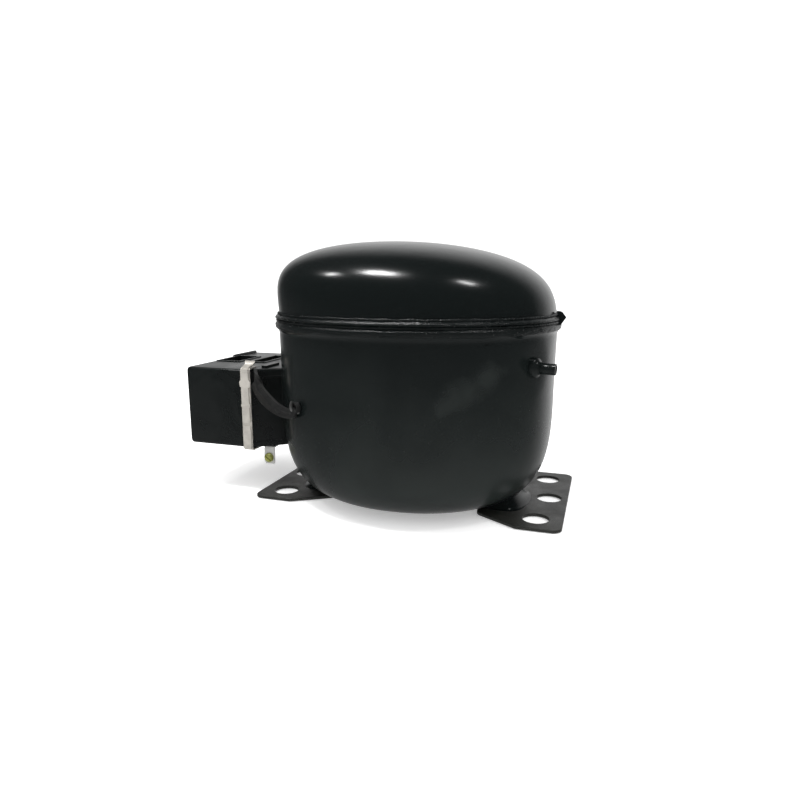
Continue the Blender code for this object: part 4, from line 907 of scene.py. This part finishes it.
def retaining_strap():
    """The black moulded band from the box to the hook on the shell, with a rib down its middle."""
    points = [(-0.0752, -0.0372, 0.0830), (-0.0729, -0.0415, 0.0800), (-0.0698, -0.0435, 0.0730),
              (-0.0608, -0.0500, 0.0682), (-0.0492, -0.0575, 0.0646), (-0.0385, -0.0643, 0.0636),
              (-0.0312, -0.0700, 0.0650), (-0.0288, -0.0716, 0.0684)]
    widths = [0.0080, 0.0110, 0.0118, 0.0104, 0.0080, 0.0062, 0.0050, 0.0040]

    def profile(t):
        half = np.interp(t * (len(widths) - 1), range(len(widths)), widths) / 2
        return [(side, share * half) for side, share in
                ((-0.0009, -1.0), (0.0009, -1.0), (0.0012, -0.85), (0.0010, -0.30), (0.0013, -0.22),
                 (0.0013, 0.22), (0.0010, 0.30), (0.0012, 0.85), (0.0009, 1.0), (-0.0009, 1.0),
                 (-0.0012, 0.85), (-0.0012, -0.85))]

    bm = bmesh.new()
    sweep(bm, smooth_route(points, 12), profile)
    turned(bm, [(0.0028, 0.0015), (0.0034, 0.0010), (0.0034, -0.0010), (0.0028, -0.0015), (0.0018, -0.0010),
                (0.0018, 0.0010)], (-0.0285, -0.0708, 0.0692), (0.56, 0.83, 0.0), 32)
    return made("retaining_band", bm, RUBBER, HOUSING, ("retaining_strap",), sharp=50)


def shell_hook():
    """The wire hook on the shell that holds the band's end."""
    root = Vector((-0.0290, -0.0676, 0.0666))
    out = Vector((-0.56, -0.83, 0.0)).normalized()
    bend = ((-0.0020, 0), (0.0022, 0), (0.0042, 0.0012), (0.0046, 0.0040), (0.0036, 0.0062))
    route = smooth_route([root + out * reach + UP * rise for reach, rise in bend], 8)
    bm = bmesh.new()
    sweep(bm, route, lambda t: ring(0.0010, 14), up=Vector((0.83, -0.56, 0.0)))
    turned(bm, [(0.0010, 0.0010), (0.0018, 0.0004), (0.0022, -0.0004), (0.0022, -0.0022),
                (0.0010, -0.0022)], root + out * 0.0008, out, 24)
    return made("shell_hook_fine", bm, STEEL, HOUSING, ("shell_hook",))


def earth_tab():
    """The bent tin-plated tab under the box, and its slotted screw with a washer."""
    x, y, z = -0.0722, -0.0290, 0.0225
    half_t, top = 0.0005, BOX_Z0 - GAP
    bm = bmesh.new()
    path = [(y + 0.0110, top - half_t), (y + 0.0020, top - half_t), (y + 0.0005, top - 0.0009),
            (y, top - 0.0022), (y, 0.0195), (y, 0.0178)]
    rows = []
    for i, (yy, zz) in enumerate(path):
        before, after = Vector(path[max(i - 1, 0)]), Vector(path[min(i + 1, len(path) - 1)])
        normal = (after - before).normalized().orthogonal() * half_t
        half = 0.0040 if i < len(path) - 1 else 0.0032
        rows.append([Vector((x + a * half, yy + b * normal.x, zz + b * normal.y)) for a, b in
                     ((-1, -1), (1, -1), (1, 1), (-1, 1))])
    add_rows(bm, rows, caps=True)
    tab = made("earth_tab_fine", bm, TINNED, HOUSING, ("ground_tab",))
    hole = bmesh.new()
    turned(hole, [(0, -0.004), (0.0021, -0.004), (0.0021, 0.004), (0, 0.004)], (x, y, z), (0, -1, 0), 32)
    carved(tab, hole)
    rounded_edges(tab, 0.0002, 2)
    head = bmesh.new()
    turned(head, [(0, 0.0024), (0.0014, 0.0024), (0.0025, 0.0021), (0.0031, 0.0014), (0.0033, 0.0006),
                  (0.0033, 0.0), (0.0017, 0.0), (0.0017, -0.0052), (0.0012, -0.0060), (0, -0.0060)],
           (x, y - 0.0008, z), (0, -1, 0), 40)
    screw = made("earth_screw_fine", head, ZINC, HOUSING, ("ground_screw",))
    slot = bmesh.new()
    add_box(slot, (x - 0.0040, y - 0.0042, z - 0.0004), (x + 0.0040, y - 0.0022, z + 0.0004))
    bmesh.ops.rotate(slot, verts=slot.verts, cent=(x, y, z), matrix=Matrix.Rotation(radians(35), 3, "Y"))
    return carved(screw, slot)


box_cover()
cover_details()
box_base()
base_details()
spring_clip()
retaining_strap()
shell_hook()
earth_tab()


# ---- springs, shock loop and leads: one end stays with the shell, the other with the pump ------
SHOCK_LOOP = ((0.0858, 0.0204, 0.1160), (0.0855, 0.0260, 0.1155), (0.0800, 0.0360, 0.1080),
              (0.0660, 0.0500, 0.0980), (0.0480, 0.0600, 0.0880), (0.0240, 0.0660, 0.0700),
              (0.0, 0.0680, 0.0450), (-0.0130, 0.0640, 0.0300), (-0.0080, 0.0620, 0.0210),
              (0.0140, 0.0655, 0.0230), (0.0360, 0.0660, 0.0380), (0.0480, 0.0665, 0.0580),
              (0.0540, 0.0680, 0.0750))
LEADS = ((-0.0487, 0.0, 0.0560), (-0.0440, 0.0005, 0.0550), (-0.0390, 0.0040, 0.0460),
         (-0.0350, 0.0075, 0.0360), (-0.0290, 0.0080, 0.0310), (-0.0225, 0.0080, 0.0310))


def flexing(node, route, radius, material, up=UP):
    """A round wire or tube along a route, bending between two bodies."""
    bm = bmesh.new()
    sweep(bm, route, lambda t: ring(radius, 8 * FINE), up)
    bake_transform(made(node + "_fine", bm, material, None, (node,)))


def suspension_spring(node):
    """A coil spring on its seat, with the turns of the CAD."""
    low, high = (Vector(corner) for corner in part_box(node))
    x, y, _ = (low + high) / 2
    foot, head = low.z + SPRING_WIRE, high.z - SPRING_WIRE
    steps = SPRING_TURNS * 16 * FINE
    route = []
    for k in range(steps + 1):
        t = 2 * pi * SPRING_TURNS * k / steps
        z = foot + (head - foot) * k / steps
        route.append(Vector((x + SPRING_COIL * cos(t), y + SPRING_COIL * sin(t), z)))
    flexing(node, route, SPRING_WIRE, STEEL)


def shock_loop():
    """The long copper loop from the cylinder head, ending inside the discharge tube."""
    angle, z = STUBS["discharge_tube"][:2]
    out = Vector((cos(radians(angle)), sin(radians(angle)), 0.0))
    ends = [shell_point(angle, z) - out * depth for depth in (0.0150, 0.0094)]
    flexing("discharge_shock_loop", smooth_route([*SHOCK_LOOP, *ends], 8), 0.0018, COPPER,
            Vector((0, 1, 0)))


def lead_bundle():
    """The leads from the plug on the terminal to the winding."""
    flexing("lead_harness", smooth_route(LEADS, 8), 0.0024, INSULATION,
            Vector((0, 1, 0)))


for number in range(1, 5):
    suspension_spring(f"suspension_spring_{number}")
shock_loop()
lead_bundle()


# ---- CAD nodes that keep their shapes ---------------------------------------------------------
LOOKS = {
    "seal_glass": GLASS, "cast_iron": CAST_IRON, "lamination": LAMINATION, "winding_enamel": WINDING,
    "copper": COPPER, "aluminium": ALUMINIUM, "white_plastic": WHITE_PLASTIC, "phenolic": PHENOLIC,
    "wire_insulation": INSULATION,
    "steel": STEEL, "spring_steel": SPRING_STEEL, "shell_paint": ENAMEL, "foot_paint": FOOT_PAINT,
    "box_plastic": BOX_PLASTIC, "band_rubber": RUBBER, "yellow_zinc": ZINC,
}
slot_of = {part["node"]: part["material_slot"] for part in frame["record"]["subparts"]}
for node, part in frame["nodes"].items():
    part.data.materials.clear()
    part.data.materials.append(LOOKS[slot_of[node]])


# ---- floor, light and camera ------------------------------------------------------------------
LIGHT_DISTANCE = 1.2
WHITE_LEVEL = 1.2               # the surroundings' strength for all but mirrored rays
FLOOR_GLOW = 0.33               # the photo's floor has hardly any shadow


def floor():
    """A pale floor that glows a little and doesn't show in reflections."""
    bm = bmesh.new()
    bmesh.ops.create_grid(bm, x_segments=2, y_segments=2, size=6.0)
    s = Surface("pale_floor", (0.93, 0.93, 0.93), 0.9, Specular_IOR_Level=0.0, Emission_Strength=FLOOR_GLOW)
    s.drive("Base Color", s.mix(s.noise(3.0), (0.92, 0.92, 0.92), (0.94, 0.94, 0.94)))
    s.bump(s.noise(300.0), 0.0001, 0.2)
    mesh = bpy.data.meshes.new("floor")
    bm.to_mesh(mesh)
    bm.free()
    piece = bpy.data.objects.new("floor", mesh)
    piece.location.z = -0.0004
    piece.visible_glossy = False
    mesh.materials.append(s.material)
    bpy.context.scene.collection.objects.link(piece)


def soft_light(name, spot, toward, size, power, along=(1.0, 0.0, 0.0)):
    """An oblong studio light, set where a given spot of the enamel mirrors it to the camera."""
    light = bpy.data.lights.new(name, "AREA")
    light.shape = "RECTANGLE"
    light.size, light.size_y = size
    light.energy = power
    toward = Vector(toward).normalized()
    wide = Vector(along)
    wide = (wide - toward * wide.dot(toward)).normalized()
    turn = Matrix((wide, toward.cross(wide), toward)).transposed()
    lamp = bpy.data.objects.new(name, light)
    lamp.matrix_world = Matrix.Translation(Vector(spot) + toward * LIGHT_DISTANCE) @ turn.to_4x4()
    bpy.context.scene.collection.objects.link(lamp)


def studio():
    """White surroundings that the black enamel sees as a dim room, brightest behind the object."""
    world = bpy.data.worlds.new("studio")
    bpy.context.scene.world = world
    world.use_nodes = True
    tree = world.node_tree
    background = tree.nodes["Background"]
    way = tree.nodes.new("ShaderNodeTexCoord").outputs["Generated"]
    split = tree.nodes.new("ShaderNodeSeparateXYZ")
    tree.links.new(way, split.inputs[0])

    def eased(axis, *ends):
        node = tree.nodes.new("ShaderNodeMapRange")
        node.interpolation_type = "SMOOTHSTEP"
        tree.links.new(split.outputs[axis], node.inputs[0])
        for socket, value in enumerate(ends, 1):
            node.inputs[socket].default_value = value
        return node.outputs[0]

    def combined(operation, a, b):
        node = tree.nodes.new("ShaderNodeMath")
        node.operation = operation
        tree.links.new(a, node.inputs[0])
        tree.links.new(b, node.inputs[1])
        return node.outputs[0]

    behind = combined("MULTIPLY", eased("Y", 0.50, 0.98, 0.0, 0.85), eased("Z", -0.55, -0.20, 0.25, 1.0))
    room = combined("ADD", behind, eased("Z", -0.70, 0.10, 0.30, 0.045))
    mirror = tree.nodes.new("ShaderNodeLightPath").outputs["Is Glossy Ray"]
    blend = tree.nodes.new("ShaderNodeMix")
    blend.inputs[2].default_value = WHITE_LEVEL
    tree.links.new(mirror, blend.inputs[0])
    tree.links.new(room, blend.inputs[3])
    tree.links.new(blend.outputs[0], background.inputs["Strength"])
    background.inputs["Color"].default_value = (1.0, 1.0, 1.0, 1.0)


floor()
studio()
soft_light("wide_top", (0.0285, -0.0773, 0.1491), (-0.263, -0.169, 0.950), (0.31, 0.19), 9.0,
           (0.90, -0.41, 0.156))
soft_light("small_left", (-0.0013, -0.0758, 0.1486), (-0.637, -0.133, 0.759), (0.14, 0.07), 1.9)
soft_light("small_right", (0.0750, -0.0663, 0.1438), (0.497, -0.097, 0.862), (0.19, 0.06), 2.2)

lens = bpy.data.cameras.new("camera")
lens.lens = 28.41
lens.clip_start, lens.clip_end = 0.01, 30.0
camera = bpy.data.objects.new("camera", lens)
YAW, PITCH = -0.3171, 0.1953
camera.location = (0.1482, -0.4071, 0.1480)
forward = Vector((sin(YAW) * cos(PITCH), cos(YAW) * cos(PITCH), -sin(PITCH)))
camera.rotation_euler = forward.to_track_quat("-Z", "Y").to_euler()
bpy.context.scene.collection.objects.link(camera)
bpy.context.scene.camera = camera
bpy.context.scene.view_settings.view_transform = "Standard"
